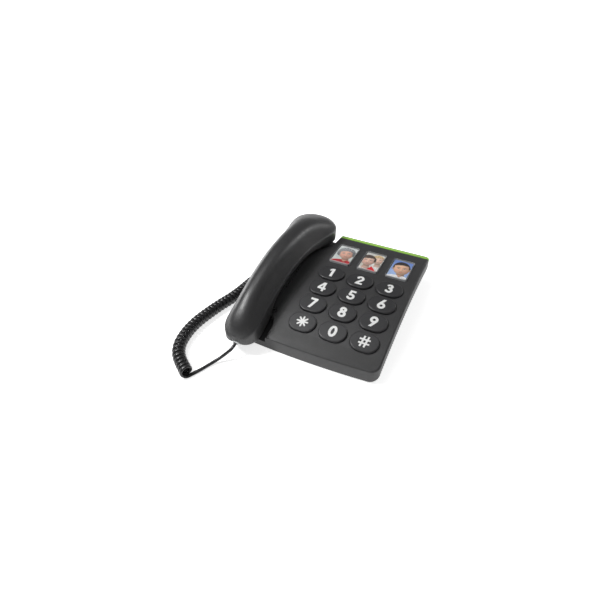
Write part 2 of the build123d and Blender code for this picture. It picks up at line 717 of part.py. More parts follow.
with BuildPart() as handset_bottom:
    add(handset_solid.part)
    add(handset_void.part, mode=Mode.SUBTRACT)
    add(seam_above.part, mode=Mode.SUBTRACT)
    add(lower_bosses.part)
    add(screw_ways.part, mode=Mode.SUBTRACT)
    # sound holes of the earpiece and the microphone
    with BuildSketch(Plane.XY.offset(24)):
        with Locations((handset_x, 74)):
            Circle(1.0)
            with PolarLocations(4.2, 6):
                Circle(0.9)
            with PolarLocations(8.4, 12):
                Circle(0.9)
    extrude(amount=9, mode=Mode.SUBTRACT)
    with BuildSketch(Plane.XY.offset(6)):
        with Locations((handset_x, -75)):
            with GridLocations(4, 0, 3, 1):
                SlotOverall(6, 1.2, rotation=90)
    extrude(amount=8, mode=Mode.SUBTRACT)
    # way in for the plug
    with BuildSketch(hs_plug.offset(-6)):
        Rectangle(8.4, 7.0)
    extrude(amount=16, mode=Mode.SUBTRACT)
handset_bottom.part.label = "handset_bottom"

with BuildPart() as earpiece_capsule:
    with BuildSketch(Plane.XY.offset(35.2)):
        with Locations((handset_x, 75.5)):
            Circle(13.0)
    extrude(amount=3.0)
    with BuildSketch(Plane.XY.offset(38.2)):
        with Locations((handset_x, 75.5)):
            Circle(8)
    extrude(amount=3.2)
    with BuildSketch(Plane.XY.offset(35.2)):
        with Locations((handset_x, 75.5)):
            Circle(11.2)
    extrude(amount=0.8, mode=Mode.SUBTRACT)
earpiece_capsule.part.label = "earpiece_capsule"

with BuildPart() as microphone_capsule:
    with BuildSketch(Plane.XY.offset(14.5)):
        with Locations((handset_x, -74.0)):
            Circle(4.6)
    extrude(amount=4.6)
    fillet(microphone_capsule.faces().sort_by(Axis.Z)[-1].edges(), 0.5)
microphone_capsule.part.label = "microphone_capsule"

with BuildPart() as handset_weight:
    with BuildSketch(Plane.XY.offset(55.0)):
        with Locations((handset_x, 5)):
            RectangleRounded(16, 42, 2)
    extrude(amount=4.6)
handset_weight.part.label = "handset_weight"

with BuildPart() as handset_cord_jack:
    with BuildSketch(hs_plug.offset(-12.4)):
        Rectangle(10.6, 7.2)
    extrude(amount=11.0)
    with BuildSketch(hs_plug.offset(-8.5)):
        Rectangle(7.9, 5.9)
        with Locations((0, -3.2)):
            Rectangle(3.4, 1.3)
    extrude(amount=9, mode=Mode.SUBTRACT)
handset_cord_jack.part.label = "handset_cord_jack"

def small_screw(x, y, z, head_r, head_h, shank_r, length):
    with BuildPart() as sc:
        with Locations((x, y, z)):
            Cylinder(head_r, head_h, align=(Align.CENTER, Align.CENTER, Align.MIN))
            Cylinder(shank_r, head_h + length, align=(Align.CENTER, Align.CENTER, Align.MIN))
            Box(2 * head_r * 0.7, 0.7, 1.6, mode=Mode.SUBTRACT)
            Box(0.7, 2 * head_r * 0.7, 1.6, mode=Mode.SUBTRACT)
    return sc.part

with BuildPart() as handset_screws:
    add(small_screw(*low_screw, 16.2, 2.5, 1.8, 1.3, 10.5))
    add(small_screw(*high_screw, 36.2, 2.5, 1.8, 1.3, 13.0))
handset_screws.part.label = "handset_screws"

# ---- handset cord ----------------------------------------------------
with BuildPart() as handset_plug:
    with BuildSketch(hs_plug.offset(-8.0)):
        Rectangle(7.6, 5.6)
    extrude(amount=13.2)
    with BuildSketch(hs_plug.offset(-3.0)):
        with Locations((0, -3.05)):
            Rectangle(3.0, 0.7)
    extrude(amount=9.0)
    with BuildSketch(hs_plug.offset(5.2)):
        RectangleRounded(5.0, 4.0, 1.2)
    extrude(amount=1.3)
handset_plug.part.label = "handset_plug"

with BuildPart() as base_plug:
    with Locations((foot_x0 - 4.5, jack_y, jack_z)):
        Box(13.5, 7.6, 5.9, align=(Align.MIN, Align.CENTER, Align.CENTER))
    with Locations((foot_x0 - 4.2, jack_y, jack_z - 3.2)):
        Box(9.0, 2.4, 0.6, align=(Align.MIN, Align.CENTER, Align.CENTER))
base_plug.part.label = "base_plug"

cz = coil_d / 2 + 0.05
coil_route = [(-76.6, -141.8), (-88.0, -134.4), (-97.6, -126.2), (-103.8, -116.2), (-107.0, -104.0), (-108.2, -91.0),
              (-107.2, -78.0), (-104.6, -65.0), (-101.4, -51.0), (-97.2, -38.0), (-94.2, -25.0), (-92.4, -11.0), (-90.9, 3.0)]
coil_route = [(x, y, cz) for x, y in coil_route]
p0 = hs_plug.origin + hs_plug.z_dir * 6.5
p1 = p0 + hs_plug.z_dir * 5.5
handset_route = [(p0.X, p0.Y, p0.Z), (p1.X, p1.Y, p1.Z), (-56.6, -107.6, 8.0), (-60.6, -112.2, 4.4), (-64.5, -117.6, 2.4),
                 (-67.9, -124.6, 1.75), (-70.7, -131.6, 1.70), (-76.2, -141.4, 1.68)]
base_route = [(foot_x0 - 4.5, jack_y, jack_z), (-77.5, jack_y, jack_z), (-85.2, 17.0, 7.0), (-90.08, 10.6, cz), (-90.9, 3.0, cz)]

def arcs(route):
    v = [Vector(*p) for p in route]
    radii = []
    for a, b, c in zip(v, v[1:], v[2:]):
        turn = radians((b - a).get_angle(c - b))
        radii.append(0.45 * min((b - a).length, (c - b).length) / tan(turn / 2))
    return radii

def tube(route, d, label):
    radii = arcs(route)
    with BuildPart() as t:
        with BuildLine() as ln:
            run = FilletPolyline(*route, radius=radii)
        v0 = Vector(*route[0]); v1 = Vector(*route[1])
        with BuildSketch(Plane(origin=v0, z_dir=(v1 - v0).normalized())):
            Circle(d / 2)
        sweep(path=ln.line)
    length = run.length
    print(label, "radii", [round(r, 1) for r in radii], "length %.1f" % length,
          "volume ratio %.4f" % (t.part.volume / (pi * d * d / 4 * length)))
    t.part.label = label
    return t.part

curly_cord = tube(coil_route, coil_d, "curly_cord")
handset_lead = tube(handset_route, lead_d, "handset_lead")
base_lead = tube(base_route, lead_d, "base_lead")

# ---- write the pieces --------------------------------------------------
pieces = [upper_done.part, lower_housing.part, ring_light_strip.part, rubber_feet.part, housing_screws.part,
          main_board.part, keypad_mat.part, ring_light_board.part, ringer_speaker.part, hook_plunger.part,
          hook_switch.part, base_cord_jack.part, line_jack.part, handset_top.part, handset_bottom.part,
          earpiece_capsule.part, microphone_capsule.part, handset_weight.part, handset_cord_jack.part,
          handset_screws.part, handset_plug.part, base_plug.part, curly_cord, handset_lead, base_lead] + keys
for piece in pieces:
    export_step(piece, f"parts/{piece.label}.step")
print(len(pieces), "pieces")
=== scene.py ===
# Corded desk telephone with large keys, three picture keys and a coiled handset cord.
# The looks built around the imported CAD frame, in metres.
import json
import math

import bpy
import numpy as np
from mathutils import Matrix, Vector


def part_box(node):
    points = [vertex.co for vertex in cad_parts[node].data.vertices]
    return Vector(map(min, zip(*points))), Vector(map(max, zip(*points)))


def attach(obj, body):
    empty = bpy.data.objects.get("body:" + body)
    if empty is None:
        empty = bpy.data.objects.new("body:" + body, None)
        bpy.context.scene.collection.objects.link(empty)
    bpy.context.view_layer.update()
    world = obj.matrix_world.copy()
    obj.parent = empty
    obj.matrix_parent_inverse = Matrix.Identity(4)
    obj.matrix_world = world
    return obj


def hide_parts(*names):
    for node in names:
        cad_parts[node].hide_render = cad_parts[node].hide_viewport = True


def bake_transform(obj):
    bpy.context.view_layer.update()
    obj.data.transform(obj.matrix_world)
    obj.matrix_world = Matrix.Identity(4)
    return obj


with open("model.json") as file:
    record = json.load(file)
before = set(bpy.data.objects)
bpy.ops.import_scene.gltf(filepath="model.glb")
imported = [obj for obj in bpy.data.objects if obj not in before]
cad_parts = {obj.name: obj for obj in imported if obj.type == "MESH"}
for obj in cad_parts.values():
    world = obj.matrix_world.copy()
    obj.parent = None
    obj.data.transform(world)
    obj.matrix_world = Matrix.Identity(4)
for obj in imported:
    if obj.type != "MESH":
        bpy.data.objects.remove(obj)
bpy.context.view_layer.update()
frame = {"nodes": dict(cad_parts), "record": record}
scene = bpy.context.scene
scene.view_settings.view_transform = "Standard"
nodes = frame["nodes"]
MM = 0.001


# ------------------------------------------------------------------ camera
def make_camera():
    data = bpy.data.cameras.new("camera")
    data.sensor_width = 36.0
    data.lens = 28.2
    data.clip_start = 0.01
    data.clip_end = 20.0
    o = bpy.data.objects.new("camera", data)
    scene.collection.objects.link(o)
    az, el = math.radians(25.937), math.radians(39.744)
    right = Vector((math.cos(az), math.sin(az), 0))
    back = Vector((math.sin(az) * math.cos(el), -math.cos(az) * math.cos(el), math.sin(el)))
    up = back.cross(right)
    m = Matrix((
        (right.x, up.x, back.x, 0.13714),
        (right.y, up.y, back.y, -0.35016),
        (right.z, up.z, back.z, 0.32386),
        (0, 0, 0, 1)))
    o.matrix_world = m
    scene.camera = o


make_camera()


# ------------------------------------------------------------------ mesh helpers
def add_mesh(name, verts, faces, smooth=True):
    me = bpy.data.meshes.new(name)
    me.from_pydata([tuple(v) for v in verts], [], [tuple(f) for f in faces])
    me.validate()
    me.update()
    if smooth:
        me.shade_smooth()
    o = bpy.data.objects.new(name, me)
    scene.collection.objects.link(o)
    return o


def spline_line(name, pts_mm, resolution):
    """The line of a NURBS spline through the control points, read back from Blender, in metres."""
    c = bpy.data.curves.new(name, "CURVE")
    c.dimensions = "3D"
    c.resolution_u = resolution
    s = c.splines.new("NURBS")
    s.points.add(len(pts_mm) - 1)
    for p, q in zip(s.points, pts_mm):
        p.co = (q[0] * MM, q[1] * MM, q[2] * MM, 1.0)
    s.order_u = 3
    s.use_endpoint_u = True
    o = bpy.data.objects.new(name, c)
    scene.collection.objects.link(o)
    bpy.context.view_layer.update()
    me = bpy.data.meshes.new_from_object(o)
    co = np.array([v.co[:] for v in me.vertices], float)
    bpy.data.objects.remove(o)
    bpy.data.curves.remove(c)
    bpy.data.meshes.remove(me)
    return co


# ------------------------------------------------------------------ the handset cord
COIL = [(-76.6, -141.8, 6.35), (-88.0, -134.4, 6.35), (-97.6, -126.2, 6.35), (-103.8, -116.2, 6.35),
        (-107.0, -104.0, 6.35), (-108.2, -91.0, 6.35), (-107.2, -78.0, 6.35), (-104.6, -65.0, 6.35),
        (-101.4, -51.0, 6.35), (-97.2, -38.0, 6.35), (-94.2, -25.0, 6.35), (-92.4, -11.0, 6.35), (-90.9, 3.0, 6.35)]
BASE_END = [(-90.08, 10.6, 6.35), (-85.2, 17.0, 7.0), (-77.5, 19.4, 8.6), (-70.5, 19.4, 8.6)]
HAND_END = [(-52.2, -98.11, 14.177), (-52.2, -103.28, 12.296), (-56.6, -107.6, 8.0), (-60.6, -112.2, 4.4), (-64.5, -117.6, 2.4),
            (-67.9, -124.6, 1.75), (-70.7, -131.6, 1.66), (-76.2, -141.4, 1.34)]
CORD_D = 3.2 * MM
RING_R = 5.05 * MM
PITCH = 4.5 * MM
FLAT_W, FLAT_T = 2.12 * MM, 1.25 * MM   # half width and half thickness of the flattened jacket in the coil


def curly_line():
    """The cord's own line: straight lead, helix of close turns, straight lead."""
    axis = spline_line("coil_axis", COIL + BASE_END, 32)
    step = np.linalg.norm(np.diff(axis, axis=0), axis=1)
    keep = np.concatenate([[True], step > 1e-7])
    axis = axis[keep]
    s = np.concatenate([[0], np.cumsum(np.linalg.norm(np.diff(axis, axis=0), axis=1))])
    total = s[-1]
    # where the coil ends on the axis: nearest to its last route point
    end = s[np.argmin(np.linalg.norm(axis - np.array(COIL[-1]) * MM, axis=1))]
    fine = np.arange(0, total, 0.02 * MM)
    pos = np.stack([np.interp(fine, s, axis[:, k]) for k in range(3)], 1)
    tan = np.gradient(pos, axis=0)
    tan /= np.linalg.norm(tan, axis=1)[:, None]
    win = np.ones(241) / 241
    sm = np.stack([np.convolve(np.pad(tan[:, k], 120, mode="edge"), win, "valid") for k in range(3)], 1)
    sm /= np.linalg.norm(sm, axis=1)[:, None]
    kap = np.linalg.norm(np.gradient(sm, axis=0), axis=1) / (0.02 * MM)
    kap = np.convolve(np.pad(kap, 120, mode="edge"), win, "valid")
    side = np.stack([-sm[:, 1], sm[:, 0], np.zeros(len(sm))], 1)
    side /= np.linalg.norm(side, axis=1)[:, None]
    upv = np.cross(sm, side)
    upv[upv[:, 2] < 0] *= -1
    # the ring closes in over the last stretch and the lead runs on along the axis
    out = np.clip((fine - (end - 6.0 * MM)) / (13.0 * MM), 0, 1)
    ease = out * out * (3 - 2 * out)
    radius = RING_R * (1 - ease)
    rate = 2 * math.pi / PITCH * (1 - np.minimum(RING_R * kap, 0.5)) * (1 - 0.93 * ease)
    phi = -math.pi / 2 + np.concatenate([[0], np.cumsum(rate[:-1]) * 0.02 * MM])
    helix = pos + radius[:, None] * (np.cos(phi)[:, None] * side + np.sin(phi)[:, None] * upv)
    # keep every 15 degrees of turn, and every 0.6 mm where it runs straight
    arc = np.concatenate([[0], np.cumsum(np.linalg.norm(np.diff(helix, axis=0), axis=1))])
    keep, last_phi, last_arc = [0], phi[0], 0.0
    for i in range(1, len(fine)):
        lim = 2 * math.pi / 24
        if (radius[i] > 0.3 * MM and phi[i] - last_phi >= lim) or arc[i] - last_arc >= 1.25 * MM:
            keep.append(i)
            last_phi, last_arc = phi[i], arc[i]
    helix = helix[keep]
    radial = (helix - pos[keep]) / np.maximum(radius[keep], 1e-6)[:, None]
    flat = 1 - ease[keep]
    lead = spline_line("handset_lead_line", HAND_END, 16)
    lead = lead[:-1]
    gap = np.linalg.norm(lead - helix[0], axis=1)
    lead = lead[gap > 0.7 * MM]
    line = np.concatenate([lead, helix, [np.array(BASE_END[-1]) * MM]])
    # how flat the jacket is, and which way its thin side faces: up along the lead, outwards in the coil
    back = np.concatenate([np.cumsum(np.linalg.norm(np.diff(lead, axis=0), axis=1)[::-1])[::-1], [0]])
    flat = np.concatenate([sm01(1 - back / (16 * MM)), flat, [0]])
    face = np.concatenate([np.tile((0.0, 0.0, -1.0), (len(lead), 1)), radial, [radial[-1]]])
    d = np.linalg.norm(np.diff(line, axis=0), axis=1)
    keep = np.concatenate([[True], d > 0.05 * MM])
    return line[keep], face[keep], flat[keep], (phi[-1] - phi[0]) / (2 * math.pi)


def sm01(x):
    x = np.clip(x, 0, 1)
    return x * x * (3 - 2 * x)


def jacket(name, line, face, flat, sides=14):
    """The cord's jacket: round along its straight ends, flattened where it is wound."""
    tan = np.gradient(line, axis=0)
    tan /= np.linalg.norm(tan, axis=1)[:, None]
    ang = np.arange(sides) * 2 * math.pi / sides
    ca, sa = np.cos(ang)[:, None], np.sin(ang)[:, None]
    n = face[0] - tan[0] * np.dot(face[0], tan[0])
    verts = []
    for p, t, f, k in zip(line, tan, face, flat):
        n = n - t * np.dot(n, t)
        n /= np.linalg.norm(n)
        want = f - t * np.dot(f, t)
        if k > 0.02 and np.linalg.norm(want) > 0.2:
            want /= np.linalg.norm(want)
            n = n * (1 - min(1, k * 1.5)) + want * min(1, k * 1.5)
            n = n - t * np.dot(n, t)
            n /= np.linalg.norm(n)
        b = np.cross(t, n)
        thin = CORD_D / 2 * (1 - k) + FLAT_T * k
        wide = CORD_D / 2 * (1 - k) + FLAT_W * k
        verts.append(p + thin * ca * n + wide * sa * b)
    verts = np.concatenate(verts)
    m = len(line)
    faces = []
    for i in range(m - 1):
        a, c = i * sides, (i + 1) * sides
        for j in range(sides):
            j2 = (j + 1) % sides
            faces.append((a + j, a + j2, c + j2, c + j))
    faces.append(tuple(reversed(range(sides))))
    faces.append(tuple(range((m - 1) * sides, m * sides)))
    return add_mesh(name, verts, faces)


cord_line, cord_face, cord_flat, cord_turns = curly_line()
cord = jacket("handset_cord", cord_line, cord_face, cord_flat)
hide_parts("curly_cord", "handset_lead", "base_lead")
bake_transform(cord)


# ------------------------------------------------------------------ floor, world and lights
def make_stage():
    me = bpy.data.meshes.new("floor")
    s = 4.0
    me.from_pydata([(-s, -s, 0), (s, -s, 0), (s, s, 0), (-s, s, 0)], [], [(0, 1, 2, 3)])
    floor = bpy.data.objects.new("floor", me)
    scene.collection.objects.link(floor)
    m = bpy.data.materials.new("floor_white")
    m.use_nodes = True
    b = m.node_tree.nodes["Principled BSDF"]
    b.inputs["Base Color"].default_value = (0.95, 0.95, 0.95, 1)
    b.inputs["Roughness"].default_value = 0.9
    b.inputs["Specular IOR Level"].default_value = 0.05
    b.inputs["Emission Color"].default_value = (1, 1, 1, 1)
    # lit sweep: it glows more away from the object, so that it stays white out to the horizon
    fnt = m.node_tree
    ftc = fnt.nodes.new("ShaderNodeTexCoord")
    fln = fnt.nodes.new("ShaderNodeVectorMath")
    fln.operation = "LENGTH"
    fmr = fnt.nodes.new("ShaderNodeMapRange")
    fnt.links.new(ftc.outputs["Object"], fln.inputs[0])
    fnt.links.new(fln.outputs["Value"], fmr.inputs["Value"])
    fmr.inputs["From Min"].default_value = 0.16
    fmr.inputs["From Max"].default_value = 0.42
    fmr.inputs["To Min"].default_value = 0.74
    fmr.inputs["To Max"].default_value = 1.05
    fnt.links.new(fmr.outputs["Result"], b.inputs["Emission Strength"])
    me.materials.append(m)
    # studio world: bright near the horizon, dimmer overhead
    w = bpy.data.worlds.new("studio")
    scene.world = w
    w.use_nodes = True
    nt = w.node_tree
    bg = nt.nodes["Background"]
    tc = nt.nodes.new("ShaderNodeTexCoord")
    sp = nt.nodes.new("ShaderNodeSeparateXYZ")
    rp = nt.nodes.new("ShaderNodeValToRGB")
    nt.links.new(tc.outputs["Generated"], sp.inputs[0])
    nt.links.new(sp.outputs["Z"], rp.inputs["Fac"])
    e = rp.color_ramp.elements
    e[0].position, e[0].color = 0.0, (1.0, 1.0, 1.0, 1)
    e[1].position, e[1].color = 1.0, (0.26, 0.26, 0.26, 1)
    k = e.new(0.05)
    k.color = (0.20, 0.20, 0.20, 1)
    k = e.new(0.55)
    k.color = (0.07, 0.07, 0.07, 1)
    k = e.new(0.85)
    k.color = (0.20, 0.20, 0.20, 1)
    nt.links.new(rp.outputs["Color"], bg.inputs["Color"])
    bg.inputs[1].default_value = 1.0


def area_light(name, loc, target, size, size_y, power, colour=(1, 1, 1)):
    d = bpy.data.lights.new(name, "AREA")
    d.shape = "RECTANGLE"
    d.size, d.size_y = size, size_y
    d.energy = power
    d.color = colour
    o = bpy.data.objects.new(name, d)
    scene.collection.objects.link(o)
    o.location = loc
    o.rotation_euler = (Vector(target) - Vector(loc)).to_track_quat("-Z", "Y").to_euler()
    return o


make_stage()
area_light("key_softbox", (-0.42, -0.22, 0.58), (-0.06, -0.05, 0.03), 0.18, 0.18, 3.9)
area_light("fill_softbox", (-0.40, 0.10, 1.20), (0, 0, 0.03), 0.45, 0.45, 2.0)
area_light("edge_softbox", (0.42, 0.86, 0.62), (0, 0.02, 0.03), 0.22, 0.22, 2.0)


# ------------------------------------------------------------------ materials
class Graph:
    def __init__(self, name):
        self.m = bpy.data.materials.new(name)
        self.m.use_nodes = True
        self.nt = self.m.node_tree
        self.nt.nodes.clear()
        self.out = self.nt.nodes.new("ShaderNodeOutputMaterial")
        self.b = self.nt.nodes.new("ShaderNodeBsdfPrincipled")
        self.link(self.b.outputs["BSDF"], self.out.inputs["Surface"])
        self.coord = self.nt.nodes.new("ShaderNodeTexCoord").outputs["Object"]

    def link(self, a, b):
        self.nt.links.new(a, b)

    def node(self, kind, **settings):
        n = self.nt.nodes.new(kind)
        for k, v in settings.items():
            setattr(n, k, v)
        return n

    def scaled(self, sx, sy, sz):
        n = self.node("ShaderNodeMapping")
        n.inputs["Scale"].default_value = (sx, sy, sz)
        self.link(self.coord, n.inputs["Vector"])
        return n.outputs["Vector"]

    def noise(self, scale, detail=2.0, rough=0.5, vec=None, distortion=0.0):
        n = self.node("ShaderNodeTexNoise")
        n.inputs["Scale"].default_value = scale
        n.inputs["Detail"].default_value = detail
        n.inputs["Roughness"].default_value = rough
        n.inputs["Distortion"].default_value = distortion
        self.link(vec if vec is not None else self.coord, n.inputs["Vector"])
        return n.outputs["Fac"]

    def ramp(self, fac, stops):
        n = self.node("ShaderNodeValToRGB")
        e = n.color_ramp.elements
        while len(e) < len(stops):
            e.new(0.5)
        for i, (p, c) in enumerate(stops):
            e[i].position = p
            e[i].color = c if len(c) == 4 else (*c, 1)
        self.link(fac, n.inputs["Fac"])
        return n.outputs["Color"]

    def mapped(self, fac, lo, hi, from_lo=0.0, from_hi=1.0):
        n = self.node("ShaderNodeMapRange")
        n.inputs["From Min"].default_value = from_lo
        n.inputs["From Max"].default_value = from_hi
        n.inputs["To Min"].default_value = lo
        n.inputs["To Max"].default_value = hi
        self.link(fac, n.inputs["Value"])
        return n.outputs["Result"]

    def math(self, op, a, b=None, clamp=False):
        n = self.node("ShaderNodeMath", operation=op, use_clamp=clamp)
        for i, v in enumerate((a, b)):
            if v is None:
                continue
            if isinstance(v, (int, float)):
                n.inputs[i].default_value = v
            else:
                self.link(v, n.inputs[i])
        return n.outputs[0]

    def mix(self, fac, a, b, mode="MIX"):
        n = self.node("ShaderNodeMix", data_type="RGBA", blend_type=mode)
        ins = [s for s in n.inputs if s.enabled]
        for sock, v in zip(ins, (fac, a, b)):
            if isinstance(v, (int, float)):
                sock.default_value = v
            elif isinstance(v, tuple):
                sock.default_value = v if len(v) == 4 else (*v, 1)
            else:
                self.link(v, sock)
        return [s for s in n.outputs if s.enabled][0]

    def bump(self, height, distance, strength=1.0, normal=None):
        n = self.node("ShaderNodeBump")
        n.inputs["Strength"].default_value = strength
        n.inputs["Distance"].default_value = distance
        self.link(height, n.inputs["Height"])
        if normal is not None:
            self.link(normal, n.inputs["Normal"])
        return n.outputs["Normal"]

    def edges(self, low=0.52, high=0.62):
        g = self.node("ShaderNodeNewGeometry")
        return self.mapped(g.outputs["Pointiness"], 0.0, 1.0, low, high)

    def set(self, **values):
        names = {"base": "Base Color", "rough": "Roughness", "metal": "Metallic", "ior": "IOR", "alpha": "Alpha",
                 "spec": "Specular IOR Level", "coat": "Coat Weight", "coat_rough": "Coat Roughness", "sheen": "Sheen Weight",
                 "trans": "Transmission Weight", "sub": "Subsurface Weight", "sub_scale": "Subsurface Scale",
                 "aniso": "Anisotropic", "sheen_rough": "Sheen Roughness"}
        for k, v in values.items():
            sock = self.b.inputs[names[k]]
            sock.default_value = (*v, 1) if isinstance(v, tuple) and len(v) == 3 else v


def shade(c, k):
    return tuple(max(0.0, min(1.0, x * k)) for x in c)


def moulded(name, colour, rough=0.5, rough_vary=0.08, grain=2600, depth=0.02, blotch=0.10, spec=0.5, coat=0.0,
            coat_rough=0.3, worn=0.25, sheen=0.0, flow=0.0):
    """Moulded plastic: fine spark-eroded grain, slow tone drift, slightly polished and lighter edges, faint handling marks."""
    g = Graph(name)
    slow = g.noise(38, 3, 0.55)
    fine = g.noise(grain, 2, 0.6)
    tone = g.ramp(slow, [(0.3, shade(colour, 1 - blotch)), (0.7, shade(colour, 1 + blotch))])
    speck = g.ramp(fine, [(0.35, (0.86, 0.86, 0.86)), (0.68, (1.12, 1.12, 1.12))])
    tone = g.mix(1.0, tone, speck, "MULTIPLY")
    edge = g.edges()
    tone = g.mix(g.math("MULTIPLY", edge, worn), tone, shade(colour, 2.1))
    g.link(tone, g.b.inputs["Base Color"])
    marks = g.noise(120, 6, 0.68, distortion=0.6)
    r = g.mapped(marks, rough - rough_vary, rough + rough_vary, 0.25, 0.75)
    r = g.math("SUBTRACT", r, g.math("MULTIPLY", edge, 0.08), clamp=True)
    g.link(r, g.b.inputs["Roughness"])
    n = g.bump(fine, depth * MM, 0.55)
    n = g.bump(g.noise(240, 3, 0.5), depth * MM * 1.6, 0.18, n)
    g.link(n, g.b.inputs["Normal"])
    g.set(spec=spec, coat=coat, coat_rough=coat_rough, sheen=sheen)
    return g


MAT = {}


def finish_materials():
    MAT["black_housing"] = moulded("housing_plastic", (0.036, 0.036, 0.037), rough=0.50, grain=2400, depth=0.035, blotch=0.08).m
    MAT["handset_plastic"] = moulded("handset_plastic", (0.034, 0.034, 0.035), rough=0.40, grain=3200, depth=0.016, blotch=0.06, worn=0.2).m
    MAT["black_key"] = moulded("key_plastic", (0.034, 0.034, 0.036), rough=0.42, grain=3600, depth=0.012, blotch=0.05, worn=0.35).m
    MAT["switch_plastic"] = moulded("switch_plastic", (0.62, 0.61, 0.57), rough=0.45, grain=2000, depth=0.01, worn=0.05).m
    MAT["socket_plastic"] = moulded("socket_plastic", (0.05, 0.05, 0.052), rough=0.38, grain=3000, depth=0.01).m

    # rubber feet: matte, dusty, with fine pores
    g = moulded("foot_rubber", (0.022, 0.022, 0.023), rough=0.78, grain=1500, depth=0.05, blotch=0.18, spec=0.3, worn=0.5, sheen=0.15)
    MAT["foot_rubber"] = g.m

    # cord jacket: soft vinyl, satin, with faint wipe marks along it
    g = moulded("cord_jacket", (0.017, 0.017, 0.018), rough=0.36, grain=1900, depth=0.012, blotch=0.16, spec=0.5, worn=0.0)
    MAT["cord_jacket"] = g.m

    # green light strip: clear tinted acrylic, painted lighter along the middle as a highlight and deeper towards the
    # rear edge as painted shade
    g = Graph("green_strip")
    sep = g.node("ShaderNodeSeparateXYZ")
    g.link(g.coord, sep.inputs[0])
    lo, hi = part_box("ring_light_strip")
    painted_light_across = g.mapped(sep.outputs["Y"], 0, 1, lo.y, hi.y)
    wob = g.noise(60, 2, 0.5)
    painted_light_across = g.math("ADD", painted_light_across, g.math("MULTIPLY", g.math("SUBTRACT", wob, 0.5), 0.10))
    # painted highlight along the middle of the strip and painted shade towards its edges, darkest at the rear, all in
    # the base colour
    tone = g.ramp(painted_light_across, [(0.0, (0.17, 0.42, 0.035)), (0.18, (0.33, 0.66, 0.07)), (0.42, (0.52, 0.84, 0.19)), (0.62, (0.36, 0.68, 0.08)),
                           (0.86, (0.13, 0.34, 0.05)), (1.0, (0.05, 0.17, 0.03))])
    along = g.ramp(g.noise(22, 2, 0.5), [(0.35, (0.9, 0.9, 0.9)), (0.65, (1.1, 1.1, 1.05))])
    g.link(g.mix(1.0, tone, along, "MULTIPLY"), g.b.inputs["Base Color"])
    g.link(g.mapped(g.noise(300, 4, 0.6), 0.16, 0.30), g.b.inputs["Roughness"])
    g.link(g.bump(g.noise(500, 2), 0.01 * MM, 0.4), g.b.inputs["Normal"])
    g.set(coat=0.5, coat_rough=0.12, sub=0.25, sub_scale=0.002)
    g.b.inputs["Subsurface Radius"].default_value = (0.6, 1.0, 0.3)
    MAT["green_translucent"] = g.m

    # screws: zinc plated, turned marks
    g = Graph("zinc_screw")
    g.link(g.ramp(g.noise(900, 3), [(0.3, (0.50, 0.50, 0.52)), (0.7, (0.66, 0.66, 0.67))]), g.b.inputs["Base Color"])
    g.link(g.mapped(g.noise(1400, 4, 0.7), 0.22, 0.42), g.b.inputs["Roughness"])
    g.link(g.bump(g.noise(2600, 2), 0.01 * MM, 0.5), g.b.inputs["Normal"])
    g.set(metal=1.0)
    MAT["screw_steel"] = g.m
    # speaker frames: stamped steel, satin
    g = Graph("speaker_steel")
    g.link(g.ramp(g.noise(300, 4), [(0.3, (0.32, 0.32, 0.33)), (0.7, (0.44, 0.44, 0.45))]), g.b.inputs["Base Color"])
    g.link(g.mapped(g.noise(800, 4, 0.7), 0.32, 0.52), g.b.inputs["Roughness"])
    g.link(g.bump(g.noise(1800, 2), 0.012 * MM, 0.5), g.b.inputs["Normal"])
    g.set(metal=1.0)
    MAT["speaker_metal"] = g.m
    # rolled steel weight: streaks along the bar
    g = Graph("weight_steel")
    streak = g.noise(60, 5, 0.7, vec=g.scaled(12, 1, 12))
    g.link(g.ramp(streak, [(0.3, (0.27, 0.26, 0.25)), (0.7, (0.45, 0.44, 0.43))]), g.b.inputs["Base Color"])
    g.link(g.mapped(streak, 0.35, 0.6), g.b.inputs["Roughness"])
    g.link(g.bump(streak, 0.03 * MM, 0.5), g.b.inputs["Normal"])
    g.set(metal=1.0)
    MAT["weight_steel"] = g.m
    # circuit board: green solder mask with paler tracks
    g = Graph("solder_mask")
    v = g.node("ShaderNodeTexBrick")
    g.link(g.scaled(1, 1, 0.01), v.inputs["Vector"])
    v.inputs["Scale"].default_value = 190
    v.inputs["Mortar Size"].default_value = 0.018
    v.inputs["Color1"].default_value = (0.012, 0.11, 0.035, 1)
    v.inputs["Color2"].default_value = (0.016, 0.13, 0.04, 1)
    v.inputs["Mortar"].default_value = (0.04, 0.24, 0.08, 1)
    g.link(g.mix(0.25, v.outputs["Color"], g.ramp(g.noise(90, 3), [(0.3, (0.01, 0.09, 0.03)), (0.7, (0.03, 0.18, 0.06))])), g.b.inputs["Base Color"])
    g.link(g.mapped(g.noise(500, 3), 0.22, 0.36), g.b.inputs["Roughness"])
    g.link(g.bump(v.outputs["Fac"], 0.03 * MM, 0.6), g.b.inputs["Normal"])
    g.set(coat=0.3)
    MAT["circuit_board"] = g.m
    # silicone key mat
    g = moulded("mat_silicone", (0.33, 0.34, 0.35), rough=0.6, grain=1200, depth=0.02, blotch=0.05, spec=0.4, worn=0.0, sheen=0.1)
    MAT["grey_silicone"] = g.m
    # clear modular plug: polycarbonate, brighter on its edges
    g = Graph("clear_plug")
    g.link(g.ramp(g.noise(500, 3), [(0.3, (0.70, 0.72, 0.73)), (0.7, (0.86, 0.88, 0.89))]), g.b.inputs["Base Color"])
    g.link(g.mapped(g.noise(700, 3), 0.08, 0.2), g.b.inputs["Roughness"])
    g.link(g.bump(g.noise(900, 2), 0.01 * MM, 0.4), g.b.inputs["Normal"])
    g.set(trans=0.75, ior=1.5, alpha=0.82)
    MAT["clear_plug"] = g.m


finish_materials()


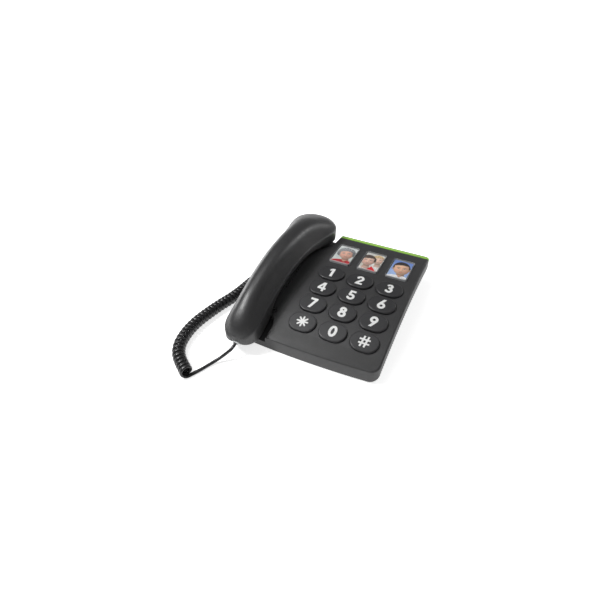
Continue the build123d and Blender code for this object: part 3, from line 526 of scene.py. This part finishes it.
def cover_material(name, cx, cy):
    """Clear acrylic cover: see-through over the card, pale and denser round its rim, the paleness a painted reflection
    of light caught in the clear edge.
    """
    g = Graph(name)
    sep = g.node("ShaderNodeSeparateXYZ")
    g.link(g.coord, sep.inputs[0])
    dx = g.math("SUBTRACT", g.math("ABSOLUTE", g.math("SUBTRACT", sep.outputs["X"], cx * MM)), 10.1 * MM)
    dy = g.math("SUBTRACT", g.math("ABSOLUTE", g.math("SUBTRACT", sep.outputs["Y"], cy * MM)), 16.2 * MM)
    painted_rim_reflection = g.mapped(g.math("MAXIMUM", dx, dy), 0, 1, 0.75 * MM, 1.05 * MM)
    hair = g.noise(900, 6, 0.75, distortion=1.5)
    scuff = g.mapped(hair, 0, 1, 0.62, 0.80)
    # painted reflection: the rim is drawn pale and denser where the clear edge would catch light
    g.link(g.mix(painted_rim_reflection, (0.95, 0.97, 0.98), (0.80, 0.82, 0.83)), g.b.inputs["Base Color"])
    a = g.math("ADD", g.math("MULTIPLY", painted_rim_reflection, 0.45), 0.02)
    a = g.math("ADD", a, g.math("MULTIPLY", scuff, 0.025), clamp=True)
    g.link(a, g.b.inputs["Alpha"])
    g.link(g.mapped(hair, 0.07, 0.16), g.b.inputs["Roughness"])
    g.set(ior=1.49, coat=0.3, coat_rough=0.05)
    return g.m


slot_of = {}
for s in frame["record"]["subparts"]:
    slot_of[s["node"]] = s["material_slot"]


def dress(o, mat):
    if not o.data.materials:
        o.data.materials.append(mat)
    for i in range(len(o.data.materials)):
        o.data.materials[i] = mat


for n, o in nodes.items():
    m = MAT.get(slot_of.get(n))
    if m is not None:
        dress(o, m)
dress(cord, MAT["cord_jacket"])

# ------------------------------------------------------------------ the deck's curve, for what sits on the keys
DECK_CY, DECK_CZ, DECK_R = 40.33, -328.61, 363.03


def circle3(a, b, c):
    ax, ay = a
    bx, by = b
    cx, cy = c
    d = 2 * (ax * (by - cy) + bx * (cy - ay) + cx * (ay - by))
    ux = ((ax**2 + ay**2) * (by - cy) + (bx**2 + by**2) * (cy - ay) + (cx**2 + cy**2) * (ay - by)) / d
    uy = ((ax**2 + ay**2) * (cx - bx) + (bx**2 + by**2) * (ax - cx) + (cx**2 + cy**2) * (bx - ax)) / d
    return ux, uy, math.hypot(ax - ux, ay - uy)


DECK_CY, DECK_CZ, DECK_R = circle3((-79.8, 13.97), (8.0, 32.98), (95.8, 30.16))


def key_place(x, y):
    """Origin on the deck, and the key's three axes."""
    z = DECK_CZ + math.sqrt(DECK_R**2 - (y - DECK_CY) ** 2)
    n = np.array([0, (y - DECK_CY) / DECK_R, (z - DECK_CZ) / DECK_R])
    r = np.array([1.0, 0, 0])
    return np.array([x, y, z]), r, np.cross(n, r), n


# ------------------------------------------------------------------ key legends
def seg_box(P, a, b, h):
    a, b = np.array(a, float), np.array(b, float)
    d = b - a
    L = np.linalg.norm(d)
    d = d / L
    q = P - (a + b) / 2
    u = np.abs(q @ d) - L / 2
    v = np.abs(q @ np.array([-d[1], d[0]])) - h
    return np.minimum(np.maximum(u, v), 0) + np.hypot(np.maximum(u, 0), np.maximum(v, 0))


def stroke(P, pts, h, round_ends=False):
    out = None
    pts = [np.array(p, float) for p in pts]
    for i in range(len(pts) - 1):
        d = seg_box(P, pts[i], pts[i + 1], h)
        out = d if out is None else np.minimum(out, d)
    inner = range(len(pts)) if round_ends else range(1, len(pts) - 1)
    for i in inner:
        out = np.minimum(out, np.linalg.norm(P - pts[i], axis=-1) - h)
    return out


def arc(c, rx, ry, a0, a1, n=40):
    t = np.radians(np.linspace(a0, a1, n))
    return [(c[0] + rx * math.cos(k), c[1] + ry * math.sin(k)) for k in t]


def poly(P, pts):
    pts = np.array(pts, float)
    best, inside = np.full(P.shape[:-1], 1e9), np.zeros(P.shape[:-1], bool)
    n = len(pts)
    for i in range(n):
        a, b = pts[i], pts[(i + 1) % n]
        e = b - a
        t = np.clip(((P - a) @ e) / (e @ e), 0, 1)
        best = np.minimum(best, np.linalg.norm(P - (a + t[..., None] * e), axis=-1))
        cross = (a[1] > P[..., 1]) != (b[1] > P[..., 1])
        with np.errstate(divide="ignore", invalid="ignore"):
            xi = (b[0] - a[0]) * (P[..., 1] - a[1]) / (b[1] - a[1] + 1e-15) + a[0]
        inside ^= cross & (P[..., 0] < xi)
    return np.where(inside, -best, best)


def below(P, y):
    return P[..., 1] - y


def glyph(name, P):
    h = 0.102
    if name == "1":
        return poly(P, [(-0.21, 0.36), (-0.03, 0.5), (0.19, 0.5), (0.19, -0.5), (-0.03, -0.5), (-0.03, 0.25), (-0.21, 0.15)])
    if name == "2":
        s = stroke(P, arc((0, 0.185), 0.213, 0.213, 168, -40) + [(-0.17, -0.35)], h)
        return np.minimum(s, poly(P, [(-0.30, -0.5), (0.31, -0.5), (0.31, -0.305), (0.02, -0.305), (-0.08, -0.24), (-0.28, -0.36)]))
    if name == "3":
        a = stroke(P, arc((-0.01, 0.235), 0.178, 0.165, 152, -88), h * 0.97)
        b = stroke(P, arc((-0.01, -0.19), 0.215, 0.208, 86, -156), h)
        return np.minimum(np.minimum(a, b), seg_box(P, (-0.11, 0.045), (0.0, 0.045), h * 0.85))
    if name == "4":
        outer = poly(P, [(0.22, 0.5), (-0.01, 0.5), (-0.35, -0.10), (-0.35, -0.285), (0.03, -0.285), (0.03, -0.5), (0.22, -0.5),
                         (0.22, -0.285), (0.34, -0.285), (0.34, -0.10), (0.22, -0.10)])
        return np.maximum(outer, -poly(P, [(0.03, -0.10), (0.03, 0.20), (-0.135, -0.10)]))
    if name == "5":
        a = poly(P, [(-0.21, 0.5), (0.27, 0.5), (0.27, 0.305), (-0.04, 0.305), (-0.065, 0.10), (-0.11, -0.02), (-0.265, -0.02)])
        return np.minimum(a, stroke(P, arc((-0.025, -0.175), 0.228, 0.222, 122, -157), h))
    if name in ("6", "9"):
        Q = P if name == "6" else -P
        ring = np.abs(np.linalg.norm(Q - np.array([0, -0.182]), axis=-1) - 0.216) - h
        s = np.maximum(seg_box(Q, (-0.187, -0.074), (0.20, 0.596), h), below(Q, 0.5))
        return np.minimum(ring, s)
    if name == "7":
        return poly(P, [(-0.29, 0.5), (0.30, 0.5), (0.30, 0.335), (-0.02, -0.5), (-0.245, -0.5), (0.055, 0.305), (-0.29, 0.305)])
    if name == "8":
        a = np.abs(np.linalg.norm((P - np.array([0, 0.238])) * (0.94, 1), axis=-1) - 0.162) - h * 0.97
        b = np.abs(np.linalg.norm((P - np.array([0, -0.192])) * (0.94, 1), axis=-1) - 0.206) - h
        return np.minimum(a, b)
    if name == "0":
        return stroke(P, arc((0, 0), 0.222, 0.396, 0, 360, 73), h)
    if name == "star":
        out = None
        for k in range(4):
            t = math.radians(90 + 45 * k)
            e = (0.30 * math.cos(t), 0.30 * math.sin(t))
            d = stroke(P, [(-e[0], -e[1]), e], 0.050, round_ends=True)
            out = d if out is None else np.minimum(out, d)
        return out
    # hash
    out = None
    for x in (-0.135, 0.135):
        d = seg_box(P, (x - 0.055, -0.42), (x + 0.055, 0.42), 0.062)
        out = d if out is None else np.minimum(out, d)
    for y in (-0.145, 0.145):
        out = np.minimum(out, seg_box(P, (-0.37, y), (0.37, y), 0.062))
    return out


def flat_shape(sdf, xs, ys):
    """Marching squares: vertices and faces of the region where sdf is below zero."""
    verts, index, faces = [], {}, []

    def corner(i, j):
        k = ("c", i, j)
        if k not in index:
            index[k] = len(verts)
            verts.append((xs[i], ys[j]))
        return index[k]

    def cut(i0, j0, i1, j1):
        k = ("e", min((i0, j0), (i1, j1)), max((i0, j0), (i1, j1)))
        if k not in index:
            a, b = sdf[i0, j0], sdf[i1, j1]
            t = min(max(a / (a - b), 0.02), 0.98)
            index[k] = len(verts)
            verts.append((xs[i0] + t * (xs[i1] - xs[i0]), ys[j0] + t * (ys[j1] - ys[j0])))
        return index[k]

    inside = sdf < 0
    for i in range(len(xs) - 1):
        for j in range(len(ys) - 1):
            ring = [(i, j), (i + 1, j), (i + 1, j + 1), (i, j + 1)]
            flags = [inside[c] for c in ring]
            if not any(flags):
                continue
            f = []
            for k in range(4):
                a, b = ring[k], ring[(k + 1) % 4]
                if flags[k]:
                    f.append(corner(*a))
                if flags[k] != flags[(k + 1) % 4]:
                    f.append(cut(*a, *b))
            if len(f) >= 3:
                faces.append(f)
    return verts, faces


def legend(name, key, place, size, top, lift=0.06, shift=(0, 0)):
    origin, ex, ey, en = place
    step = 0.017
    xs = np.arange(-0.46, 0.4601, step)
    ys = np.arange(-0.56, 0.5601, step)
    P = np.stack(np.meshgrid(xs, ys, indexing="ij"), -1)
    v2, faces = flat_shape(glyph(name, P), xs, ys)
    up = [origin + ex * (x * size + shift[0]) + ey * (y * size + shift[1]) + en * (top + lift) for x, y in v2]
    dn = [p - en * (lift + 0.10) for p in up]
    n = len(up)
    edges = {}
    for f in faces:
        for k in range(len(f)):
            a, b = f[k], f[(k + 1) % len(f)]
            edges[(a, b)] = edges.get((a, b), 0) + 1
    walls = [(b, a, a + n, b + n) for (a, b) in edges if (b, a) not in edges]
    low = [tuple(i + n for i in reversed(f)) for f in faces]
    o = add_mesh("legend_" + name, np.array(up + dn) * MM, list(faces) + walls + low, smooth=False)
    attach(o, key)
    dress(o, LEGEND)
    return o


g = Graph("legend_white")
g.link(g.ramp(g.noise(700, 4, 0.6), [(0.3, (0.80, 0.80, 0.79)), (0.7, (0.90, 0.90, 0.89))]), g.b.inputs["Base Color"])
g.link(g.mapped(g.noise(1500, 3), 0.42, 0.58), g.b.inputs["Roughness"])
g.link(g.bump(g.noise(2600, 2), 0.01 * MM, 0.4), g.b.inputs["Normal"])
LEGEND = g.m

COLS = (-4.6, 26.4, 57.4)
ROWS = (15.93, -7.03, -29.99, -52.95)
KEY_TOP = 2.2
LAYOUT = [("1", "2", "3"), ("4", "5", "6"), ("7", "8", "9"), ("star", "0", "hash")]
SIZES = {"star": 17.2, "hash": 14.2}
for y, row in zip(ROWS, LAYOUT):
    for x, name in zip(COLS, row):
        legend(name, "key_" + name, key_place(x, y), SIZES.get(name, 12.4), KEY_TOP)

# ------------------------------------------------------------------ picture keys
class Noise:
    """Smooth seeded value noise."""

    def __init__(self, seed):
        self.t = np.random.RandomState(seed).rand(64, 64)

    def __call__(self, x, y):
        xi, yi = np.floor(x).astype(int), np.floor(y).astype(int)
        fx, fy = x - xi, y - yi
        fx, fy = fx * fx * (3 - 2 * fx), fy * fy * (3 - 2 * fy)
        t = self.t
        a, b = t[xi % 64, yi % 64], t[(xi + 1) % 64, yi % 64]
        c, d = t[xi % 64, (yi + 1) % 64], t[(xi + 1) % 64, (yi + 1) % 64]
        return (a * (1 - fx) + b * fx) * (1 - fy) + (c * (1 - fx) + d * fx) * fy


def sm(a, b, x):
    t = np.clip((x - a) / (b - a), 0, 1)
    return t * t * (3 - 2 * t)


class Picture:
    """A printed picture, worked out point by point over the card in millimetres."""

    def __init__(self, X, Y, seed):
        self.X, self.Y = X, Y
        self.rgb = np.zeros(X.shape + (3,))
        self.n1, self.n2 = Noise(seed), Noise(seed + 1)

    def over(self, mask, colour):
        m = np.clip(mask, 0, 1)[..., None]
        self.rgb = self.rgb * (1 - m) + np.broadcast_to(np.asarray(colour, float), self.rgb.shape) * m

    def light(self, mask, k):
        self.rgb = np.clip(self.rgb * (1 + k * mask[..., None]), 0, 1)

    def backdrop(self, top, bottom, mottle=0.03):
        t = sm(-17, 17, self.Y + 0.2 * self.X)
        self.rgb = np.asarray(bottom) * (1 - t[..., None]) + np.asarray(top) * t[..., None]
        self.light(self.n1(self.X * 0.35 + 9, self.Y * 0.35 + 5) - 0.5, mottle * 2)

    def shoulders(self, cx, top, half, colour, slope=0.055, fold=0.18, neck=2.6):
        """Clothes below a rounded shoulder line, with soft folds and a collar edge."""
        x = self.X - cx
        line = top - slope * np.maximum(np.abs(x) - neck, 0) ** 1.7 * 1.2 - 0.12 * np.abs(x)
        d = self.Y - line
        m = sm(0.25, -0.25, d) * sm(half + 0.3, half - 0.3, np.abs(x))
        f = self.n2(x * 0.55 + self.Y * 0.2 + 20, self.Y * 0.22 + 3)
        c = np.asarray(colour)[None, None, :] * (1 - fold + 2 * fold * f[..., None])
        self.over(m, np.clip(c, 0, 1))
        self.light(m * np.exp(-((d + 0.6) / 0.5) ** 2), 0.10)
        return m

    def head(self, cx, cy, b, tilt, skin, hair, style, iris=(0.25, 0.20, 0.15), neck=True):
        a = math.radians(tilt)
        dx, dy = self.X - cx, self.Y - cy
        p = (dx * math.cos(a) + dy * math.sin(a)) / b
        q = (-dx * math.sin(a) + dy * math.cos(a)) / b
        s = 0.16 / b                                       # softness of edges
        skin = np.asarray(skin, float)
        hair = np.asarray(hair, float)
        n1, n2 = self.n1, self.n2
        g = lambda x, y, wx, wy: np.exp(-((p - x) / wx) ** 2 - ((q - y) / wy) ** 2)
        if neck:
            w = 0.34 + 0.10 * sm(-1.0, -1.5, q)
            m = sm(w + s, w - s, np.abs(p)) * sm(-0.55, -0.65, q) * sm(-1.75, -1.6, q)
            side = 1.0 - 0.22 * sm(-0.1, 0.4, p)
            self.over(m, skin * 0.86 * side[..., None])
            self.light(m * g(0, -0.98, 0.40, 0.20), -0.34)
        # the mass of hair behind the face
        if style == "wavy":
            wob = 0.10 * (n1(p * 4.5 + 7, q * 4.5 + 3) - 0.5)
            rx, ry, oy, low = 0.93, 1.02, 0.10, -0.42
        elif style == "short":
            wob = 0.02 * (n1(p * 9 + 7, q * 9 + 3) - 0.5)
            rx, ry, oy, low = 0.755, 0.98, 0.07, -0.12
        else:
            wob = 0.05 * (n1(p * 7 + 7, q * 7 + 3) - 0.5)
            rx, ry, oy, low = 0.83, 1.03, 0.08, -0.30
        r = np.sqrt((p / (rx + wob)) ** 2 + ((q - oy) / (ry + wob)) ** 2)
        back = sm(1 + 2.2 * s, 1 - 2.2 * s, r) * sm(low - 0.12, low + 0.05, q)
        ang = np.arctan2(p, q - 0.25)
        if style == "wavy":
            strand = 0.5 + 0.5 * np.sin(ang * 17 + 5 * n2(p * 3.5 + 2, q * 3.5) + r * 9)
            strand = 0.6 * strand + 0.4 * n2(p * 16 + 5, q * 16)
        else:
            strand = 0.5 + 0.5 * np.sin(ang * 46 + 4 * n2(p * 4 + 2, q * 4))
            strand = 0.5 * strand + 0.5 * n2(ang * 13 + 30, r * 6)
        top_light = 0.75 + 0.5 * sm(-0.4, 0.9, q - 0.35 * p)
        hair_rgb = hair * (0.62 + 0.72 * strand[..., None]) * top_light[..., None]
        self.over(back, np.clip(hair_rgb, 0, 1))
        # ears
        for e in (-1, 1):
            d = np.sqrt(((p - e * 0.70) / 0.085) ** 2 + ((q + 0.10) / 0.20) ** 2)
            if style != "wavy":
                self.over(sm(1.15, 0.85, d), skin * 0.84)
                self.light(sm(0.75, 0.35, d), -0.20)
        # the face: even oval, a little narrower at the jaw
        wf = np.where(q >= 0, 0.70 * np.sqrt(np.maximum(0, 1 - q ** 2)),
                      0.70 * np.maximum(0, 1 - np.abs(q) ** 2.3) ** 0.60)
        face = sm(s, -s, np.abs(p) - wf)
        nx, ny = p / 0.76, q / 1.06
        nz = np.sqrt(np.maximum(0, 1 - nx ** 2 - ny ** 2))
        lam = np.clip(-0.36 * nx + 0.42 * ny + 0.83 * nz, 0, 1)
        rgb = skin * (0.66 + 0.42 * lam[..., None])
        self.over(face, np.clip(rgb, 0, 1))
        # planes of the face
        f = face
        for e in (-1, 1):
            self.over(f * g(e * 0.36, -0.30, 0.20, 0.17) * 0.30, skin * (1.02, 0.78, 0.74))
            self.light(f * g(e * 0.27, 0.035, 0.16, 0.085), -0.15)
            self.light(f * g(e * 0.38, -0.17, 0.16, 0.06), 0.06)
            self.light(f * g(e * 0.27, 0.115, 0.15, 0.03), 0.07)
        self.light(f * g(0, 0.42, 0.34, 0.16), 0.07)
        self.light(f * g(-0.012, -0.12, 0.035, 0.22), 0.11)
        self.light(f * g(0.075, -0.16, 0.035, 0.20), -0.11)
        self.light(f * g(-0.01, -0.355, 0.055, 0.05), 0.13)
        self.light(f * g(0.0, -0.455, 0.12, 0.030), -0.20)
        self.light(f * g(0.0, -0.52, 0.03, 0.04), -0.05)
        self.light(f * g(0.0, -0.745, 0.14, 0.030), -0.12)
        self.light(f * g(0.0, -0.86, 0.13, 0.06), 0.06)
        for e in (-1, 1):
            self.over(f * g(e * 0.060, -0.428, 0.024, 0.015) * 0.75, skin * 0.35)
            # brow
            u = np.abs(p - e * 0.27) / 0.165
            line = 0.185 - 0.05 * u ** 2
            thick = 0.026 * (1 - 0.55 * np.clip(u, 0, 1))
            self.over(f * sm(1.05, 0.9, u) * sm(thick + s, thick - s * 0.5, np.abs(q - line)) * 0.72, hair * 0.62 + skin * 0.06)
            # eye
            ex, ey = (p - e * 0.27) / 0.118, q / 0.050
            lid = 1 - ex ** 2
            inside = sm(-0.12, 0.25, lid - np.abs(ey))
            self.over(f * inside, (0.90, 0.88, 0.86))
            ri = np.hypot(p - e * 0.27, q - 0.002)
            self.over(f * inside * sm(0.050, 0.040, ri), iris)
            self.over(f * inside * sm(0.024, 0.018, ri), (0.04, 0.03, 0.03))
            self.over(f * sm(0.016, 0.007, np.hypot(p - e * 0.27 + 0.015, q - 0.018)), (0.97, 0.97, 0.97))
            up = 0.050 * np.maximum(lid, 0)
            self.over(f * sm(1.1, 1.0, np.abs(ex)) * sm(0.018, 0.008, np.abs(q - up)) * 0.85, skin * 0.22)
            self.over(f * sm(1.1, 1.0, np.abs(ex)) * sm(0.012, 0.005, np.abs(q + up * 0.95)) * 0.35, skin * 0.5)
            self.light(f * sm(1.2, 0.9, np.abs(ex)) * sm(0.012, 0.005, np.abs(q - up - 0.035)), -0.16)
        # mouth: closed and calm
        u = p / 0.195
        arch = np.maximum(0, 1 - u ** 2)
        line = -0.605 + 0.010 * u ** 2
        upper = sm(-s * 0.6, s * 0.6, q - line) * sm(0.045 + s * 0.6, 0.045 - s * 0.6, (q - line) / np.maximum(arch ** 0.6, 0.05) + 0.012 * g(0, -0.56, 0.04, 0.04))
        lower = sm(s * 0.6, -s * 0.6, q - line) * sm(0.062 + s * 0.6, 0.062 - s * 0.6, (line - q) / np.maximum(arch ** 0.6, 0.05))
        rose = skin * (0.86, 0.58, 0.57)
        on = f * sm(1.02, 0.94, np.abs(u))
        self.over(on * upper * 0.85, rose * 0.86)
        self.over(on * lower * 0.85, rose)
        self.light(on * lower * g(-0.02, -0.645, 0.07, 0.015), 0.16)
        self.over(on * sm(0.013, 0.005, np.abs(q - line)) * 0.8, skin * 0.36)
        # hair that falls over the brow and the temples
        if style == "wavy":
            hl = 0.50 - 0.55 * p ** 2 + 0.10 * (n1(p * 6 + 1, q * 2 + 8) - 0.5)
            front = sm(-0.03, 0.04, q - hl)
            side = sm(0.56, 0.64, np.abs(p) + 0.06 * (n1(q * 6 + 4, p + 2) - 0.5)) * sm(-0.40, -0.20, q)
            front = np.maximum(front, side)
        elif style == "short":
            hl = 0.56 + 0.06 * p - 0.35 * p ** 2 + 0.03 * (n1(p * 14 + 1, q * 2 + 8) - 0.5)
            front = sm(-0.025, 0.035, q - hl)
            front = np.maximum(front, sm(0.60, 0.66, np.abs(p)) * sm(-0.06, 0.10, q))
        else:
            hl = 0.47 + 0.16 * p - 0.25 * p ** 2 + 0.06 * (n1(p * 9 + 1, q * 2 + 8) - 0.5)
            front = sm(-0.03, 0.04, q - hl)
            front = np.maximum(front, sm(0.58, 0.65, np.abs(p)) * sm(-0.22, -0.02, q))
        inside_hair = sm(1 + 2.2 * s, 1 - 2.2 * s, r)
        self.light(f * sm(-0.14, 0.0, q - hl) * (1 - front), -0.16)
        self.over(front * inside_hair * sm(-0.42, -0.34, q), np.clip(hair_rgb, 0, 1))

    def done(self):
        grainy = self.n1(self.X * 9, self.Y * 9) - 0.5
        self.light(grainy, 0.03)
        # printed cards keep a narrow pale border
        edge = np.maximum(np.abs(self.X) - 9.92, np.abs(self.Y) - 16.12)
        self.over(sm(0.0, 0.18, edge), (0.87, 0.87, 0.86))
        return np.clip(self.rgb, 0, 1) ** 1.85


def paint_card(i, X, Y):
    P = Picture(X, Y, 40 + 10 * i)
    if i == 1:
        P.backdrop((0.88, 0.90, 0.89), (0.76, 0.80, 0.78))
        P.head(0.9, 2.6, 11.0, 12, (0.90, 0.68, 0.59), (0.47, 0.48, 0.49), "wavy", iris=(0.28, 0.36, 0.42))
        m = P.shoulders(2.9, -9.6, 12.5, (0.66, 0.09, 0.12), slope=0.05, neck=3.4)
        # open collar
        v = np.abs(P.X - 2.9) * 1.15 - (P.Y + 13.6)
        P.over(m * sm(0.25, -0.25, v), (0.74, 0.52, 0.43))
        P.light(m * np.exp(-((v - 0.25) / 0.35) ** 2), -0.35)
    elif i == 2:
        P.backdrop((0.85, 0.85, 0.83), (0.80, 0.78, 0.74))
        P.shoulders(7.2, -2.8, 9.0, (0.84, 0.83, 0.82), slope=0.04, fold=0.08, neck=2.4)
        P.head(4.9, 6.2, 8.3, 12, (0.95, 0.79, 0.70), (0.70, 0.58, 0.42), "soft", iris=(0.35, 0.30, 0.20))
        P.shoulders(-3.8, -11.2, 13.0, (0.82, 0.80, 0.79), slope=0.03, fold=0.10, neck=2.6)
        P.head(-4.6, 1.4, 9.9, 5, (0.93, 0.75, 0.67), (0.23, 0.19, 0.17), "soft", iris=(0.22, 0.16, 0.10), neck=True)
        tri = poly(np.stack([X, Y], -1), [(-1.6, -16.4), (2.4, -8.2), (9.2, -16.4)])
        P.over(sm(0.15, -0.15, tri), (0.84, 0.10, 0.12))
        P.light(sm(0.15, -0.15, tri) * (P.n2(X * 0.9, Y * 0.5) - 0.5), 0.30)
    else:
        P.backdrop((0.40, 0.52, 0.83), (0.60, 0.71, 0.90), 0.05)
        P.light(np.exp(-((X - 1) / 9) ** 2 - ((Y - 2) / 12) ** 2), 0.12)
        P.head(0.9, 1.9, 11.9, 8, (0.92, 0.71, 0.58), (0.14, 0.12, 0.115), "short", iris=(0.24, 0.20, 0.15))
        m = P.shoulders(2.2, -10.8, 12.5, (0.92, 0.92, 0.93), slope=0.05, fold=0.06, neck=3.2)
        v = np.abs(P.X - 2.3) * 1.2 - (P.Y + 14.6)
        P.over(m * sm(0.25, -0.25, v), (0.78, 0.56, 0.45))
        P.light(m * np.exp(-((v - 0.30) / 0.35) ** 2), -0.22)
    return P.done()


def card_material():
    g = Graph("picture_paper")
    at = g.node("ShaderNodeAttribute", attribute_name="picture")
    dot = g.ramp(g.noise(5200, 1, 0.5), [(0.35, (0.95, 0.95, 0.95)), (0.65, (1.04, 1.04, 1.04))])
    g.link(g.mix(1.0, at.outputs["Color"], dot, "MULTIPLY"), g.b.inputs["Base Color"])
    g.link(g.mapped(g.noise(420, 4, 0.6), 0.28, 0.42), g.b.inputs["Roughness"])
    g.link(g.bump(g.noise(1500, 3), 0.008 * MM, 0.4), g.b.inputs["Normal"])
    g.set(coat=0.25, coat_rough=0.15)
    return g.m


CARD = card_material()


def card(i, place):
    """A thin printed card with rounded corners; its picture is kept on its points."""
    origin, ex, ey, en = place
    nx, ny, hw, hh, rc = 121, 195, 10.15, 16.35, 1.0
    u, v = np.meshgrid(np.linspace(-hw, hw, nx), np.linspace(-hh, hh, ny), indexing="ij")
    cu, cv = np.abs(u) - (hw - rc), np.abs(v) - (hh - rc)
    both = (cu > 0) & (cv > 0)
    k = np.where(both, np.maximum(cu, cv) / np.maximum(np.hypot(cu, cv), 1e-9), 1)
    x = np.where(both, np.sign(u) * ((hw - rc) + cu * k), u)
    y = np.where(both, np.sign(v) * ((hh - rc) + cv * k), v)
    top = origin + x[..., None] * ex + y[..., None] * ey + 0.80 * en
    verts = top.reshape(-1, 3)
    idx = np.arange(nx * ny).reshape(nx, ny)
    faces = [(idx[a, b], idx[a + 1, b], idx[a + 1, b + 1], idx[a, b + 1]) for a in range(nx - 1) for b in range(ny - 1)]
    ring = list(idx[:, 0]) + list(idx[-1, 1:]) + list(idx[-2::-1, -1]) + list(idx[0, -2:0:-1])
    low = verts[ring] - 0.29 * en
    n = len(verts)
    verts = np.concatenate([verts, low])
    m = len(ring)
    faces += [(ring[(j + 1) % m], ring[j], n + j, n + (j + 1) % m) for j in range(m)]
    faces.append(tuple(n + j for j in reversed(range(m))))
    o = add_mesh("picture_card_%d" % i, verts * MM, faces, smooth=False)
    rgb = paint_card(i, x, y).reshape(-1, 3)
    rgb = np.concatenate([rgb, np.full((m, 3), 0.72)])
    at = o.data.color_attributes.new("picture", "FLOAT_COLOR", "POINT")
    at.data.foreach_set("color", np.concatenate([rgb, np.ones((len(rgb), 1))], 1).astype(np.float32).ravel())
    dress(o, CARD)
    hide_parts("photo_card_%d" % i)
    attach(o, "photo_key_%d" % i)


for i, x in enumerate(COLS):
    card(i + 1, key_place(x, 52.7))
    dress(nodes["photo_cover_%d" % (i + 1)], cover_material("picture_cover_%d" % (i + 1), x, 52.7))
